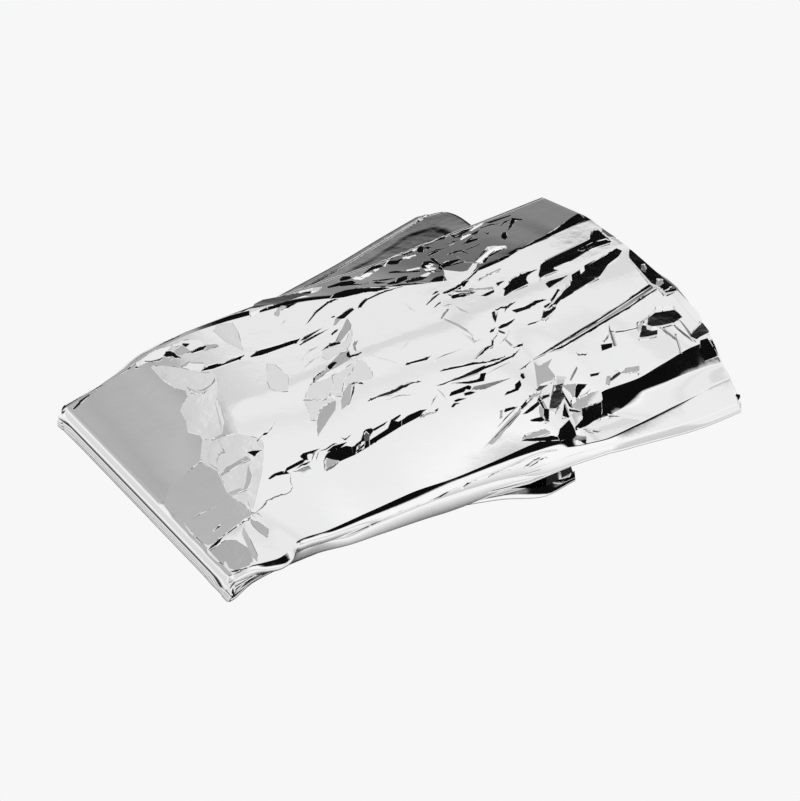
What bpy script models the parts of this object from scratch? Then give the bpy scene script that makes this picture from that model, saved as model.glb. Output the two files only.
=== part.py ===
"""A folded emergency foil blanket, lying on a flat surface.

The blanket is one sheet. It is pressed into a long strip, the strip is laid back and forth into three plies, and
the three plies are doubled over at the left. So the section along the strip is one line that runs

    bottom ply, round the outer bend at the left, top ply, round the right fold, second ply, round the middle bend,
    second lower ply, round the lower right fold, third ply, round the inner bend, and out into the upper flap.

The upper flap is longer, bows up into an arch and has a rolled front and back edge. The lower flap fans out under it.
Tables and sizes are in millimetres, x runs along the strip from the left bend, y across it from front to back, and z
up from the surface that the blanket lies on. Heights are those of the middle of a ply.
"""

import bpy
import numpy as np

MM = 0.001
PLY = 1.4  # thickness of a ply, which is many films pressed together
PITCH = 2.0  # from ply to ply where they are pressed at the left bend
BEND_X = 3.6  # where the plies start to turn at the left
BEND_SQUARENESS = 2.6  # 2 is a round bend, and more is a flatter spine
FOLD_REACH = 1.8  # how far the pressed folds at the right bulge at most
BEND_STEPS = 7
FOLD_STEPS = 6
TOP_ROWS = 29
INNER_ROWS = 12
ROLL_RADIUS = 5.0  # of the top ply's rolled front edge
BACK_ROLL_RADIUS = 3.0
INNER_INSET = 5.5  # how far the inner plies of the upper flap stay inside the rolled edges
LIP_GAP = 1.0  # between the two plies at the lifted front corner of the lower flap, on top of the pitch

# Stations along the upper flap. edge is the lower rim of the rolled front edge, and the rest are heights of the top
# ply from front to back, at the shares of the width in ACROSS. Behind the shoulder the flap slopes down to the back.
UPPER = {
    "x":        (0.0, 12.0, 28.0, 42.0, 60.0, 100.0, 135.0, 160.0, 185.0, 215.0, 250.0),
    "y_front":  (-69.5, -68.5, -65.5, -65.0, -68.0, -70.0, -75.0, -83.0, -86.0, -86.0, -82.5),
    "y_back":   (68.0, 70.0, 71.5, 72.0, 72.0, 72.0, 72.0, 72.0, 72.0, 72.0, 72.0),
    "edge":     (8.5, 6.5, 3.5, 2.5, 2.5, 2.5, 7.0, 12.0, 9.5, 5.0, 0.6),
    "roll":     (10.7, 11.0, 11.5, 11.5, 11.5, 12.0, 15.0, 18.5, 17.5, 14.0, 9.0),
    "ledge":    (10.7, 11.5, 13.0, 13.5, 14.0, 14.5, 17.0, 19.5, 19.0, 17.0, 12.5),
    "slope":    (10.7, 12.0, 15.0, 17.5, 19.0, 21.0, 23.0, 25.0, 25.5, 25.5, 22.5),
    "mid":      (10.7, 12.3, 16.0, 20.0, 22.0, 24.5, 26.5, 28.0, 29.5, 31.5, 32.0),
    "crest":    (10.7, 12.3, 16.3, 20.5, 22.8, 25.0, 26.8, 28.2, 30.2, 32.0, 32.3),
    "shoulder": (9.0, 10.2, 14.0, 19.3, 21.5, 23.4, 25.0, 26.7, 29.0, 30.7, 31.0),
    "back":     (7.5, 9.0, 13.0, 18.5, 21.0, 22.0, 21.5, 20.5, 21.5, 22.0, 23.0),
}
ACROSS = {"roll": 0.035, "ledge": 0.14, "slope": 0.26, "mid": 0.42, "crest": 0.60, "shoulder": None, "back": 1.0}
SHOULDER = {
    "x":     (0.0, 63.0, 100.0, 121.0, 141.0, 157.0, 172.0, 200.0, 250.0),
    "share": (0.96, 0.96, 0.93, 0.90, 0.85, 0.80, 0.75, 0.745, 0.765),
}

# The upper flap's right end, before its fold: how far it reaches at shares of the width from front to back.
UPPER_END = {
    "share": (0.0, 0.10, 0.25, 0.50, 0.80, 1.0),
    "x":     (246.0, 250.0, 254.0, 252.8, 251.3, 252.5),
}

# Stations along the lower flap. lip is how far its two upper plies are lifted off the bottom one at the front edge.
LOWER = {
    "x":       (0.0, 30.0, 60.0, 97.0, 127.0, 145.0, 160.0, 190.0, 232.0),
    "y_front": (-68.0, -64.0, -64.5, -67.5, -74.5, -81.0, -82.0, -82.0, -82.0),
    "y_back":  (67.0, 72.0, 79.0, 87.5, 94.0, 97.5, 100.5, 108.0, 117.5),
    "lip":     (0.0, 0.0, 0.0, 0.5, 3.0, 5.0, 6.0, 6.0, 6.0),
}
LOWER_END = {
    "share": (0.0, 0.15, 0.40, 0.70, 0.90, 0.97, 1.0),
    "x":     (162.0, 176.0, 200.0, 219.0, 227.0, 225.0, 213.0),
}

# The main creases of the top ply, as soft ridges, or troughs where the height is negative. Each runs from one end
# to the other in the plane, is as wide as given at its foot, and fades out over its last fifth.
CREASES = {
    "x_from": (43.0, 55.0, 129.0, 172.0, 190.0, 176.0, 122.0, 108.0, 20.0, 60.0),
    "y_from": (-29.0, 42.5, -24.5, -34.0, -15.0, -66.0, -62.0, 8.0, -40.0, 10.0),
    "x_to":   (124.0, 129.0, 174.0, 243.0, 246.0, 250.0, 160.0, 160.0, 62.0, 118.0),
    "y_to":   (-35.0, 36.0, -24.0, -22.0, 4.5, -56.0, -46.0, 16.0, -52.0, 2.0),
    "width":  (12.0, 12.0, 12.0, 14.0, 14.0, 16.0, 14.0, 13.0, 12.0, 14.0),
    "height": (1.2, 1.0, 1.1, 1.2, -1.2, -1.5, -1.0, -0.9, 0.9, -0.8),
}

# Columns of the mesh from front to back. The first and last few are the rolled edges of the top ply.
FRONT_ROLL = {"inset": (0.0, 1.4, 2.8, 4.2), "turn": (90.0, 90.0, 60.0, 30.0), "drop": (1.0, 0.5, 0.0, 0.0)}
BACK_ROLL = {"inset": (4.2, 2.8, 1.4, 0.0), "turn": (20.0, 45.0, 70.0, 95.0)}
TOP_COLUMNS = (0.05, 0.09, 0.14, 0.19, 0.24, 0.29, 0.34, 0.40, 0.46, 0.52, 0.58, 0.64, 0.70, 0.75, 0.80, 0.86, 0.93)


def curve(at, xs, ys):
    """A smooth curve through the points, with no overshoot: cubic pieces whose slopes are limited."""
    at, xs, ys = (np.asarray(a, float) for a in (at, xs, ys))
    steps = np.diff(xs)
    chords = np.diff(ys) / steps
    slopes = np.concatenate(([chords[0]], (chords[:-1] + chords[1:]) / 2, [chords[-1]]))
    limit = 3 * np.minimum(np.abs(np.r_[chords[0], chords]), np.abs(np.r_[chords, chords[-1]]))
    turning = np.r_[chords[0], chords] * np.r_[chords, chords[-1]] <= 0
    slopes = np.where(turning, 0.0, np.clip(slopes, -limit, limit))
    at = np.clip(at, xs[0], xs[-1])
    i = np.clip(np.searchsorted(xs, at, side="right") - 1, 0, len(steps) - 1)
    t = (at - xs[i]) / steps[i]
    h = steps[i]
    return (
        ys[i] * (1 + 2 * t) * (1 - t) ** 2
        + ys[i + 1] * t * t * (3 - 2 * t)
        + h * slopes[i] * t * (1 - t) ** 2
        - h * slopes[i + 1] * t * t * (1 - t)
    )


def station(table, column, x):
    return curve(x, table["x"], table[column])


def crease_height(x, y):
    """How far the creases raise the top ply at a point."""
    total = np.zeros(np.shape(x))
    for x0, y0, x1, y1, width, height in zip(*CREASES.values()):
        length = np.hypot(x1 - x0, y1 - y0)
        along = ((x - x0) * (x1 - x0) + (y - y0) * (y1 - y0)) / length**2
        off = ((y - y0) * (x1 - x0) - (x - x0) * (y1 - y0)) / length
        fade = np.clip(5 * np.minimum(along, 1 - along) + 0.5, 0, 1)
        total = total + height * fade * np.clip(1 - 2 * np.abs(off) / width, 0, 1)
    return total


def top_height(x, share):
    """Height of the top ply, without its rolled edges."""
    shoulder = station(SHOULDER, "share", x)
    shares = np.stack([shoulder if s is None else s + 0 * x for s in ACROSS.values()], axis=-1)
    heights = np.stack([station(UPPER, name, x) for name in ACROSS], axis=-1)
    y_front, y_back = station(UPPER, "y_front", x), station(UPPER, "y_back", x)
    smooth = np.array([curve(*at) for at in zip(share, shares, heights)])
    return smooth + crease_height(x, y_front + share * (y_back - y_front))


def columns():
    """For each column: its inset from the front edge or the back edge, or its share of the width between them."""
    front = [("front", i) for i in FRONT_ROLL["inset"]]
    back = [("back", i) for i in BACK_ROLL["inset"]]
    return front + [("share", s) for s in TOP_COLUMNS] + back


def shares_at(y_front, y_back):
    """Each column's share of the width, where the width runs from y_front to y_back."""
    width = y_back - y_front
    found = []
    for kind, value in columns():
        found.append({"front": value / width, "back": 1 - value / width, "share": value}[kind])
    return np.array(found)


def lower_ply(level, u, end_x):
    """A ply of the lower flap. level 0 is the bottom one; u runs from the left bend, 0, to the end, 1."""
    width_shares = shares_at(-70.0, 70.0)
    x_end = curve(width_shares, LOWER_END["share"], LOWER_END["x"]) + end_x
    x = BEND_X + u * (x_end - BEND_X)
    inset = 0.0 if level == 0 else 0.8
    y_front = station(LOWER, "y_front", x) + inset
    y_back = station(LOWER, "y_back", x) - inset
    y = y_front + width_shares * (y_back - y_front)
    fade = np.clip(1 - width_shares / 0.45, 0, 1) ** 1.5
    lifts = (0.0 * x, station(LOWER, "lip", x), station(LOWER, "lip", x) + LIP_GAP * u)
    z = PLY / 2 + level * PITCH + lifts[level] * fade
    return np.stack([x, y, z], axis=-1)


def ceiling_of_lower(x, y):
    """Height of the lower flap's top ply, which falls to the surface beyond the lower flap's end."""
    front = station(LOWER, "y_front", x)
    back = station(LOWER, "y_back", x)
    share = np.clip((y - front) / (back - front), 0, 1)
    fade = np.clip(1 - share / 0.45, 0, 1) ** 1.5
    past_end = x - curve(share, LOWER_END["share"], LOWER_END["x"])
    height = 2 * PITCH + (station(LOWER, "lip", x) + LIP_GAP) * fade
    return PLY / 2 + height * np.clip(1 - (past_end - 5) / 20, 0, 1)


def upper_ply(level, u, end_x):
    """A ply of the upper flap. level 0 is the top one, 1 the second and 2 the third; u runs from the left bend."""
    width_shares = shares_at(-70.0, 70.0)
    x_end = curve(width_shares, UPPER_END["share"], UPPER_END["x"]) + end_x
    x = BEND_X + u * (x_end - BEND_X)
    y_front, y_back = station(UPPER, "y_front", x), station(UPPER, "y_back", x)
    flat_y = y_front + width_shares * (y_back - y_front)
    z = top_height(x, width_shares)
    if level:
        away = np.minimum(1.0, x / 40.0)
        inset = INNER_INSET * away
        y = y_front + inset + width_shares * (y_back - y_front - 2 * inset)
        share = (y - y_front) / (y_back - y_front)
        cover = top_height(x, share)
        floor = ceiling_of_lower(x, y) + PITCH
        third = np.minimum(np.maximum(cover - 2 * (PITCH + 2.6 * away), floor), cover - 2 * PITCH)
        z = third if level == 2 else (cover + third) / 2
        return np.stack([x, y, z], axis=-1)
    y = flat_y.copy()
    edge, roll = station(UPPER, "edge", x), station(UPPER, "roll", x)
    for i, (turn, drop) in enumerate(zip(FRONT_ROLL["turn"], FRONT_ROLL["drop"])):
        radius = np.minimum(ROLL_RADIUS, (roll[i] - edge[i]) * 0.8)
        side = roll[i] - radius
        angle = np.radians(turn)
        y[i] = y_front[i] + radius * (1 - np.sin(angle))
        z[i] = side + radius * np.cos(angle) - drop * (side - edge[i])
    n = len(y)
    top = station(UPPER, "back", x)
    for k, turn in enumerate(BACK_ROLL["turn"]):
        i = n - len(BACK_ROLL["turn"]) + k
        radius = BACK_ROLL_RADIUS * min(1.0, 0.3 + x[i] / 30.0)
        angle = np.radians(turn)
        y[i] = y_back[i] - radius * (1 - np.sin(angle))
        z[i] = top[i] - radius * (1 - np.cos(angle))
    return np.stack([x, y, z], axis=-1)


def bend(start, end, steps, out, squareness=2.0, most=10.0):
    """The rows between two plies, round a bend that bulges towards out. start and end are the plies' last rows."""
    rows = []
    half = (start - end) / 2
    reach = np.minimum(np.linalg.norm(half, axis=1, keepdims=True), most)
    for k in range(1, steps):
        angle = np.pi * k / steps
        c, s = np.cos(angle), np.sin(angle)
        c = np.sign(c) * abs(c) ** (2 / squareness)
        s = s ** (2 / squareness)
        rows.append((start + end) / 2 + half * c + reach * s * np.array(out))
    return rows


def ply_rows(maker, level, shares, end_x=0.0):
    return [maker(level, u, end_x) for u in shares]


def sheet_rows():
    """The rows of the whole sheet's middle surface, from the bottom ply's free end to the third ply's."""
    fine = np.linspace(0, 1, TOP_ROWS)
    medium = np.linspace(0, 1, INNER_ROWS)
    left, right = (-1.0, 0.0, 0.0), (1.0, 0.0, 0.0)
    bottom = ply_rows(lower_ply, 0, medium[::-1], -2.0)
    top = ply_rows(upper_ply, 0, fine)
    second = ply_rows(upper_ply, 1, medium[::-1])
    second_low = ply_rows(lower_ply, 1, medium)
    third_low = ply_rows(lower_ply, 2, medium[::-1])
    third = ply_rows(upper_ply, 2, medium, -6.0)
    rows = bottom + bend(bottom[-1], top[0], BEND_STEPS + 1, left, BEND_SQUARENESS) + top
    rows += bend(top[-1], second[0], FOLD_STEPS, right, most=FOLD_REACH) + second
    rows += bend(second[-1], second_low[0], BEND_STEPS, left, BEND_SQUARENESS) + second_low
    rows += bend(second_low[-1], third_low[0], FOLD_STEPS - 1, right) + third_low
    rows += bend(third_low[-1], third[0], BEND_STEPS - 2, left) + third
    return np.array(rows)


def foil_material():
    material = bpy.data.materials.new("silver_foil")
    material.use_nodes = True
    shader = material.node_tree.nodes["Principled BSDF"]
    shader.inputs["Base Color"].default_value = (0.86, 0.87, 0.88, 1.0)
    shader.inputs["Metallic"].default_value = 1.0
    shader.inputs["Roughness"].default_value = 0.12
    return material


def main():
    for old in list(bpy.data.objects):
        bpy.data.objects.remove(old)
    rows = sheet_rows()
    low, high = rows.min(axis=(0, 1)), rows.max(axis=(0, 1))
    origin = np.array([(low[0] + high[0]) / 2, (low[1] + high[1]) / 2, 0.0])
    count, width = rows.shape[:2]
    points = ((rows - origin) * MM).reshape(-1, 3)
    faces = [
        (i * width + j, (i + 1) * width + j, (i + 1) * width + j + 1, i * width + j + 1)
        for i in range(count - 1)
        for j in range(width - 1)
    ]
    mesh = bpy.data.meshes.new("foil_blanket")
    mesh.from_pydata(points.tolist(), [], faces)
    mesh.shade_smooth()
    blanket = bpy.data.objects.new("foil_blanket", mesh)
    bpy.context.scene.collection.objects.link(blanket)
    solidify = blanket.modifiers.new("ply thickness", "SOLIDIFY")
    solidify.thickness = PLY * MM
    solidify.offset = 0.0
    mesh.materials.append(foil_material())


main()
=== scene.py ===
"""A folded emergency foil blanket: its film, creases, facets and studio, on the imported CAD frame.

The film follows the CAD solid's folds. Its top ply has the creases of CREASES and the flat facets of FACETS,
which are given by the pixels of the photo at which they show. Other tables are in millimetres. x runs along
the strip from the doubled-over left end, y across it from front to back with 0 at the strip's middle, and z is
up. ORIGIN is the row frame's origin in those coordinates. A place across the flat film has y's values between
the top's brink and its back edge.
"""

import math

import bpy
import numpy as np
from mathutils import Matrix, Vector, kdtree
from mathutils.bvhtree import BVHTree
from mathutils.geometry import delaunay_2d_cdt


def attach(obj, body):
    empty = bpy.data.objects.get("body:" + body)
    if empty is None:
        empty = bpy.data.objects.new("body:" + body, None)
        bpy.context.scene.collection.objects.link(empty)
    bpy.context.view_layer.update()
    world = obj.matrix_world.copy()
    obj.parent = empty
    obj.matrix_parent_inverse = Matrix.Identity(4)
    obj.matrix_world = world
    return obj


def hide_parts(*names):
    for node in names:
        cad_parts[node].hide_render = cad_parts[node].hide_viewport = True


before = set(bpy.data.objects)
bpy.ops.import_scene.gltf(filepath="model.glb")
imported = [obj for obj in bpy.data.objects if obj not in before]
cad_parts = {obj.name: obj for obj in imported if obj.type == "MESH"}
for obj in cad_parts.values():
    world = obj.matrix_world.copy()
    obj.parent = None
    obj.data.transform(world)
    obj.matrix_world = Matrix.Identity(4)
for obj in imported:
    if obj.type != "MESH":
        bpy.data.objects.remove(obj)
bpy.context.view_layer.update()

MM = 0.001
TINY = 1e-9  # keeps a division from being by zero
ORIGIN = np.array([126.9757, 13.40625, 0.0])

PLY = 1.4  # thickness of the CAD solid's plies
PITCH = 2.0  # between the middles of plies that lie on one another
FACE_OUT = 0.6  # the film's face lies this far out of the middle of its ply

BEND_X = 3.6  # where the left bends start
BEND_SQUARENESS = 2.6
FOLD_REACH = 1.8  # of the fold at the top ply's right end
FOLD_SQUARENESS = 1.1

HEM_RADIUS = 0.5  # of the pressed fold along each long edge of the strip
HEM_TURNS = (45, 90, 135, 180)
HEM_REACHES = (1.5, 4.0)  # of the part that is turned under

BACK_ROLL_RADIUS = 3.0
BACK_ROLL_FLAT = 0.4
BACK_ROLL_TURN = (14, 80)  # degrees at which the roll starts, and through which it goes
BACK_ROLL_LENGTH = 1.6  # laid flat, in radii
BACK_ROLL_START, BACK_ROLL_GROWTH = 0.3, 30.0  # share of the radius at the left end, and over what x it grows

FRONT_BOW = 1.6  # how the top's front slope flattens towards the crest
CREST_BEFORE_CREASE = 4.0
BACK_STEP_MOST, BACK_STEP_FALL = 0.7, 0.125  # the gentler part behind the back crease: largest share, slope
KNEE_DROP = ((195, 215), (1.25, 1.4))  # slope above the front edge's knee, along x
KNEE_RISE = 1.0  # of the knee over the front edge
FACE_REACH = ((170, 187.5), (2.5, 1.8))  # how far the steep step runs on below its foot, along x
FACE_REACH_MOST = 0.45  # as a share of the way from the foot to the low crease
LOW_CLOSENESS = 1.5  # how the columns gather at the low crease

LIP_FADE, LIP_POWER = 0.45, 1.5  # share of the width over which the lower flap's lifted front comes down
LIP_GAP = 1.0
LOWER_INSET = 0.8  # of the lower flap's two lowest plies, inside the third
FLAP_X, FLAP_Y = (30, 60), (-10, 20)  # over which the lower flap's relief begins
FLAP_FACE = 30.0  # width of the face inside the flap's crease
INNER_INSET = 5.5  # of the upper flap's two lower plies
INNER_DROP = 2.6  # by which they hang below the plies' pitch
INNER_FROM = 40.0  # x at which both are reached
CEILING_FALL = (5, 20)  # how far beyond the lower flap's end its cover falls, and over what length

# The small tip into which the left end's front corner is drawn: its reach in y, its length in x, and its top.
TIP_REACH, TIP_LENGTH, TIP_TOP = 4.2, 14.0, 8.5
TIP_Y, TIP_WIDTH, TIP_HEIGHT = -60.0, 8.0, 3.0

# The CAD solid's stations and ends, but for two values of LOWER_END. Of LOWER, the columns below lip are the
# film's alone: the bottom ply's front edge, how high it curls, how far the lip sags, and how far the third ply
# is tucked in.
UPPER = {
    "x":        (0.0, 12.0, 28.0, 42.0, 60.0, 100.0, 135.0, 160.0, 185.0, 215.0, 250.0),
    "y_front":  (-69.5, -68.5, -65.5, -65.0, -68.0, -70.0, -75.0, -83.0, -86.0, -86.0, -82.5),
    "y_back":   (68.0, 70.0, 71.5, 72.0, 72.0, 72.0, 72.0, 72.0, 72.0, 72.0, 72.0),
    "edge":     (8.5, 6.5, 3.5, 2.5, 2.5, 2.5, 7.0, 12.0, 9.5, 5.0, 0.6),
    "roll":     (10.7, 11.0, 11.5, 11.5, 11.5, 12.0, 15.0, 18.5, 17.5, 14.0, 9.0),
    "ledge":    (10.7, 11.5, 13.0, 13.5, 14.0, 14.5, 17.0, 19.5, 19.0, 17.0, 12.5),
    "slope":    (10.7, 12.0, 15.0, 17.5, 19.0, 21.0, 23.0, 25.0, 25.5, 25.5, 22.5),
    "mid":      (10.7, 12.3, 16.0, 20.0, 22.0, 24.5, 26.5, 28.0, 29.5, 31.5, 32.0),
    "crest":    (10.7, 12.3, 16.3, 20.5, 22.8, 25.0, 26.8, 28.2, 30.2, 32.0, 32.3),
    "shoulder": (9.0, 10.2, 14.0, 19.3, 21.5, 23.4, 25.0, 26.7, 29.0, 30.7, 31.0),
    "back":     (7.5, 9.0, 13.0, 18.5, 21.0, 22.0, 21.5, 20.5, 21.5, 22.0, 23.0),
}
ACROSS = {
    "roll": 0.035, "ledge": 0.14, "slope": 0.26, "mid": 0.42, "crest": 0.60, "shoulder": None, "back": 1.0,
}
SHOULDER = {
    "x":     (0.0, 63.0, 100.0, 121.0, 141.0, 157.0, 172.0, 200.0, 250.0),
    "share": (0.96, 0.96, 0.93, 0.90, 0.85, 0.80, 0.75, 0.745, 0.765),
}
UPPER_END = {
    "share": (0.0, 0.10, 0.25, 0.50, 0.80, 1.0),
    "x":     (246.0, 250.0, 254.0, 252.8, 251.3, 252.5),
}
END_START, END_WIDTH = 0.06, 0.92  # the part of the places across the film over which UPPER_END's shares run
LOWER = {
    "x":       (0.0, 30.0, 60.0, 97.0, 127.0, 145.0, 160.0, 190.0, 232.0),
    "y_front": (-68.0, -64.0, -64.5, -67.5, -74.5, -81.0, -82.0, -82.0, -82.0),
    "y_back":  (67.0, 72.0, 79.0, 87.5, 94.0, 97.5, 100.5, 108.0, 117.5),
    "lip":     (0.0, 0.0, 0.0, 0.5, 3.0, 5.0, 6.0, 6.0, 6.0),
    "bottom":  (-68.0, -64.0, -64.5, -67.5, -76.3, -84.8, -83.0, -82.0, -82.0),
    "curl":    (0.0, 0.0, 0.0, 0.3, 0.6, 0.6, 0.6, 0.0, 0.0),
    "sag":     (0.0, 0.0, 0.0, 0.4, 1.6, 1.6, 0.5, 0.0, 0.0),
    "tuck":    (0.0, 0.0, 0.0, 0.3, 2.4, 3.6, 1.2, 0.0, 0.0),
}
LOWER_END = {
    "share": (0.0, 0.15, 0.40, 0.70, 0.90, 0.97, 1.0),
    "x":     (162.0, 176.0, 200.0, 219.0, 228.5, 225.5, 213.0),
}
CURL = ((0.0, 1.2, 2.4, 12.0), (0.0, 1.0, 0.8, 0.0))  # the curl's section: distance inside the edge, height

# The crease along the lower flap's back: how far inside the edge it lies, the tilts of the face outside it,
# of the crease itself and of the face inside it, and the crease's width.
FLAP_CREASE = {
    "x":      (0, 120, 157, 164, 170, 176, 183, 190, 197, 203, 207, 212, 215, 217, 219, 232),
    "inside": (7, 7, 7.5, 7.2, 7.8, 8.4, 7.9, 8, 6.8, 7.9, 9, 11, 14, 21, 32, 45),
}
FLAP_TILTS = (2.1, 4.6, 2.8)
FLAP_STEP = 1.0

# The top ply's front: its brink, the foot of the steep step below it, and the lower crease above the edge.
FRONT = {
    "x":       (0, 12, 18, 24, 30, 35, 40, 50, 70, 90, 110, 130, 150, 160, 168, 175, 190, 205, 220, 235,
                250),
    "brink_y": (-68, -67, -68.2, -69.2, -67.6, -64.6, -63.9, -64.6, -64.6, -64.2, -66.4, -68.1, -70.65,
                -73.5, -71.5, -67.1, -61.2, -62.0, -60.35, -57.6, -56.0),
    "brink_z": (10.2, 10.6, 10.7, 10.8, 10.9, 10.9, 10.8, 10.4, 11.25, 11.75, 12.35, 14.15, 17.15, 18.3,
                18.6, 18.8, 21.4, 21.3, 22.15, 22.1, 20.65),
    "foot_y":  (-68.3, -67.3, -69.9, -71.3, -69.6, -65.2, -64.4, -65.3, -65.8, -65.6, -67.1, -69.2, -73.7,
                -76, -74, -71.2, -70.1, -66.4, -66.0, -64.8, -63.8),
    "foot_z":  (9.9, 10.3, 9.7, 9.4, 9.5, 10.3, 10.4, 9.9, 10.5, 10.9, 11.9, 13.65, 15.75, 16.9, 17.1, 16.5,
                16.3, 18.4, 17.7, 16.2, 13.6),
    "low_y":   (-68.9, -67.9, -68.6, -69, -67.6, -65.2, -64.8, -65.7, -67.5, -68.1, -68.6, -71.3, -74.6,
                -79, -81, -82.2, -81, -79.6, -77.8, -74.7, -72.3),
    "low_z":   (6.5, 7, 6.6, 6.2, 6.4, 6.8, 6.8, 6.5, 8.3, 8.6, 10.4, 11.4, 14.4, 15.4, 15.4, 15.3, 15,
                14.5, 14.1, 13, 11.4),
}
DROOP = ((70, 100, 125, 150, 175), (0, 1.5, 2.5, 2.7, 0))  # of the film's front edge below the solid's
# The crease where the top turns down to the back, and how wide the gentler start of the slope behind it is.
BACK_CREASE = {
    "x":    (0, 12, 30, 62, 79, 98, 114, 122, 130, 139, 148, 157, 165, 172, 188, 200, 214, 225, 235, 250),
    "y":    (64.5, 65.8, 66.6, 67.6, 65.8, 62, 58.4, 55, 51, 48.3, 46.1, 41, 37.5, 33.5, 30.1, 29.7, 31.8,
             31.7, 33.7, 33.3),
    "step": (0.5, 0.7, 1, 3, 4.5, 4, 3.5, 3.5, 3, 3, 2, 1.2, 1, 1, 1.5, 2, 2, 2, 2.5, 5),
}
CREST = {
    "x": (0, 12, 28, 42, 60, 100, 135, 160, 185, 215, 250),
    "z": (10.4, 12.1, 16.1, 20.2, 22.4, 24.8, 26.6, 28.0, 29.9, 31.7, 32.1),
}

# Marks across the top ply, as shares of its columns, and how many columns lie between them.
MARKS = {"edge": 0.0, "low": 0.08, "foot": 0.13, "brink": 0.16, "shoulder": 0.82, "roll": 0.97, "end": 1.0}
MARK_COLUMNS = (14, 12, 5, 92, 26, 7)
ROW_MARKS, MARK_ROWS = (0.0, 0.035, 0.935, 1.0), (12, 150, 24)
ROWS = {"bottom": 60, "right_fold": 9, "second": 6, "middle_bend": 5, "second_low": 8, "low_fold": 7,
        "third_low": 130, "inner_bend": 4, "third": 6}
BOTTOM_END, THIRD_END = -2.0, -6.0  # how far the bottom ply and the third one end short of the flaps' ends
FOLD_START = 0.996  # share of the third lower ply's length at which its end fold starts


def curve(at, xs, ys):
    """A smooth curve through the points, with no overshoot. xs and ys have one row, or one for each at."""
    at = np.atleast_1d(np.asarray(at, float))
    xs = np.broadcast_to(np.asarray(xs, float), at.shape + np.shape(xs)[-1:])
    ys = np.broadcast_to(np.asarray(ys, float), at.shape + np.shape(ys)[-1:])
    steps = np.diff(xs, axis=-1)
    chords = np.diff(ys, axis=-1) / steps
    before = np.concatenate([chords[..., :1], chords], axis=-1)
    after = np.concatenate([chords, chords[..., -1:]], axis=-1)
    limit = 3 * np.minimum(np.abs(before), np.abs(after))
    slopes = np.where(before * after <= 0, 0.0, np.clip((before + after) / 2, -limit, limit))
    at = np.clip(at, xs[..., 0], xs[..., -1])
    i = np.clip((at[..., None] >= xs).sum(axis=-1) - 1, 0, steps.shape[-1] - 1)[..., None]

    def pick(values):
        return np.take_along_axis(values, i, axis=-1)[..., 0]

    h = pick(steps)
    t = (at - pick(xs[..., :-1])) / h
    y0, y1 = pick(ys[..., :-1]), pick(ys[..., 1:])
    s0, s1 = pick(slopes[..., :-1]), pick(slopes[..., 1:])
    return (
        y0 * (1 + 2 * t) * (1 - t) ** 2 + y1 * t * t * (3 - 2 * t)
        + h * s0 * t * (1 - t) ** 2 - h * s1 * t * t * (1 - t)
    )


def straight(at, xs, ys):
    """As curve, but with straight lines between the points."""
    at = np.asarray(at, float)
    xs = np.broadcast_to(np.asarray(xs, float), at.shape + np.shape(xs)[-1:])
    ys = np.broadcast_to(np.asarray(ys, float), at.shape + np.shape(ys)[-1:])
    i = np.clip((at[..., None] >= xs).sum(axis=-1) - 1, 0, xs.shape[-1] - 2)[..., None]
    x0, x1 = (np.take_along_axis(a, i, axis=-1)[..., 0] for a in (xs[..., :-1], xs[..., 1:]))
    y0, y1 = (np.take_along_axis(a, i, axis=-1)[..., 0] for a in (ys[..., :-1], ys[..., 1:]))
    return y0 + (at - x0) * (y1 - y0) / (x1 - x0)


def station(table, column, x):
    x = np.asarray(x, float)
    return curve(x.ravel(), table["x"], table[column]).reshape(x.shape)


def cad_height(x, share):
    """Height of the middle of the CAD solid's top ply, without its rolled edges and its creases."""
    shape = np.broadcast(x, share).shape
    x, share = (np.broadcast_to(a, shape).ravel() for a in (x, share))
    shoulder = station(SHOULDER, "share", x)
    shares = np.stack([shoulder if s is None else s + 0 * x for s in ACROSS.values()], axis=-1)
    heights = np.stack([station(UPPER, name, x) for name in ACROSS], axis=-1)
    return curve(share, shares, heights).reshape(shape)


def spread(marks, counts):
    """Places from the first mark to the last, with so many steps between each mark and the next."""
    runs = [np.linspace(a, b, n + 1)[:-1] for a, b, n in zip(marks[:-1], marks[1:], counts)]
    return np.concatenate(runs + [marks[-1:]])


COLUMNS = spread(tuple(MARKS.values()), MARK_COLUMNS)
KEPT_COLUMNS = (sum(MARK_COLUMNS[:3]), sum(MARK_COLUMNS[:4]))  # those of the brink and the shoulder


class Sections:
    """The marks of the top ply's sections at the values of x."""

    def __init__(self, x):
        front, back = station(UPPER, "y_front", x), station(UPPER, "y_back", x)
        self.front, self.width = front, back - front
        self.edge = np.stack([front, station(UPPER, "edge", x) - curve(x, *DROOP)])
        self.brink, self.foot, self.low = (
            np.stack([station(FRONT, name + "_y", x), station(FRONT, name + "_z", x)])
            for name in ("brink", "foot", "low")
        )
        self.shoulder = np.stack([station(BACK_CREASE, "y", x), station(CREST, "z", x)])
        self.radius = BACK_ROLL_RADIUS * np.minimum(1.0, BACK_ROLL_START + x / BACK_ROLL_GROWTH)
        self.roll = np.stack([back - BACK_ROLL_FLAT * self.radius, station(UPPER, "back", x)])
        lengths = [np.linalg.norm(a - b, axis=0) for a, b in
                   ((self.edge, self.low), (self.low, self.foot), (self.foot, self.brink))]
        brink = self.brink[0]
        self.flat = np.stack([
            brink - lengths[0] - lengths[1] - lengths[2], brink - lengths[1] - lengths[2], brink - lengths[2],
            brink, self.shoulder[0], self.roll[0], self.roll[0] + BACK_ROLL_LENGTH * self.radius,
        ], axis=-1)


def flat_place(x, v):
    """Distance across the film, laid flat, with the same values as y between the brink and the back edge."""
    return straight(v, list(MARKS.values()), Sections(x).flat)


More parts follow.
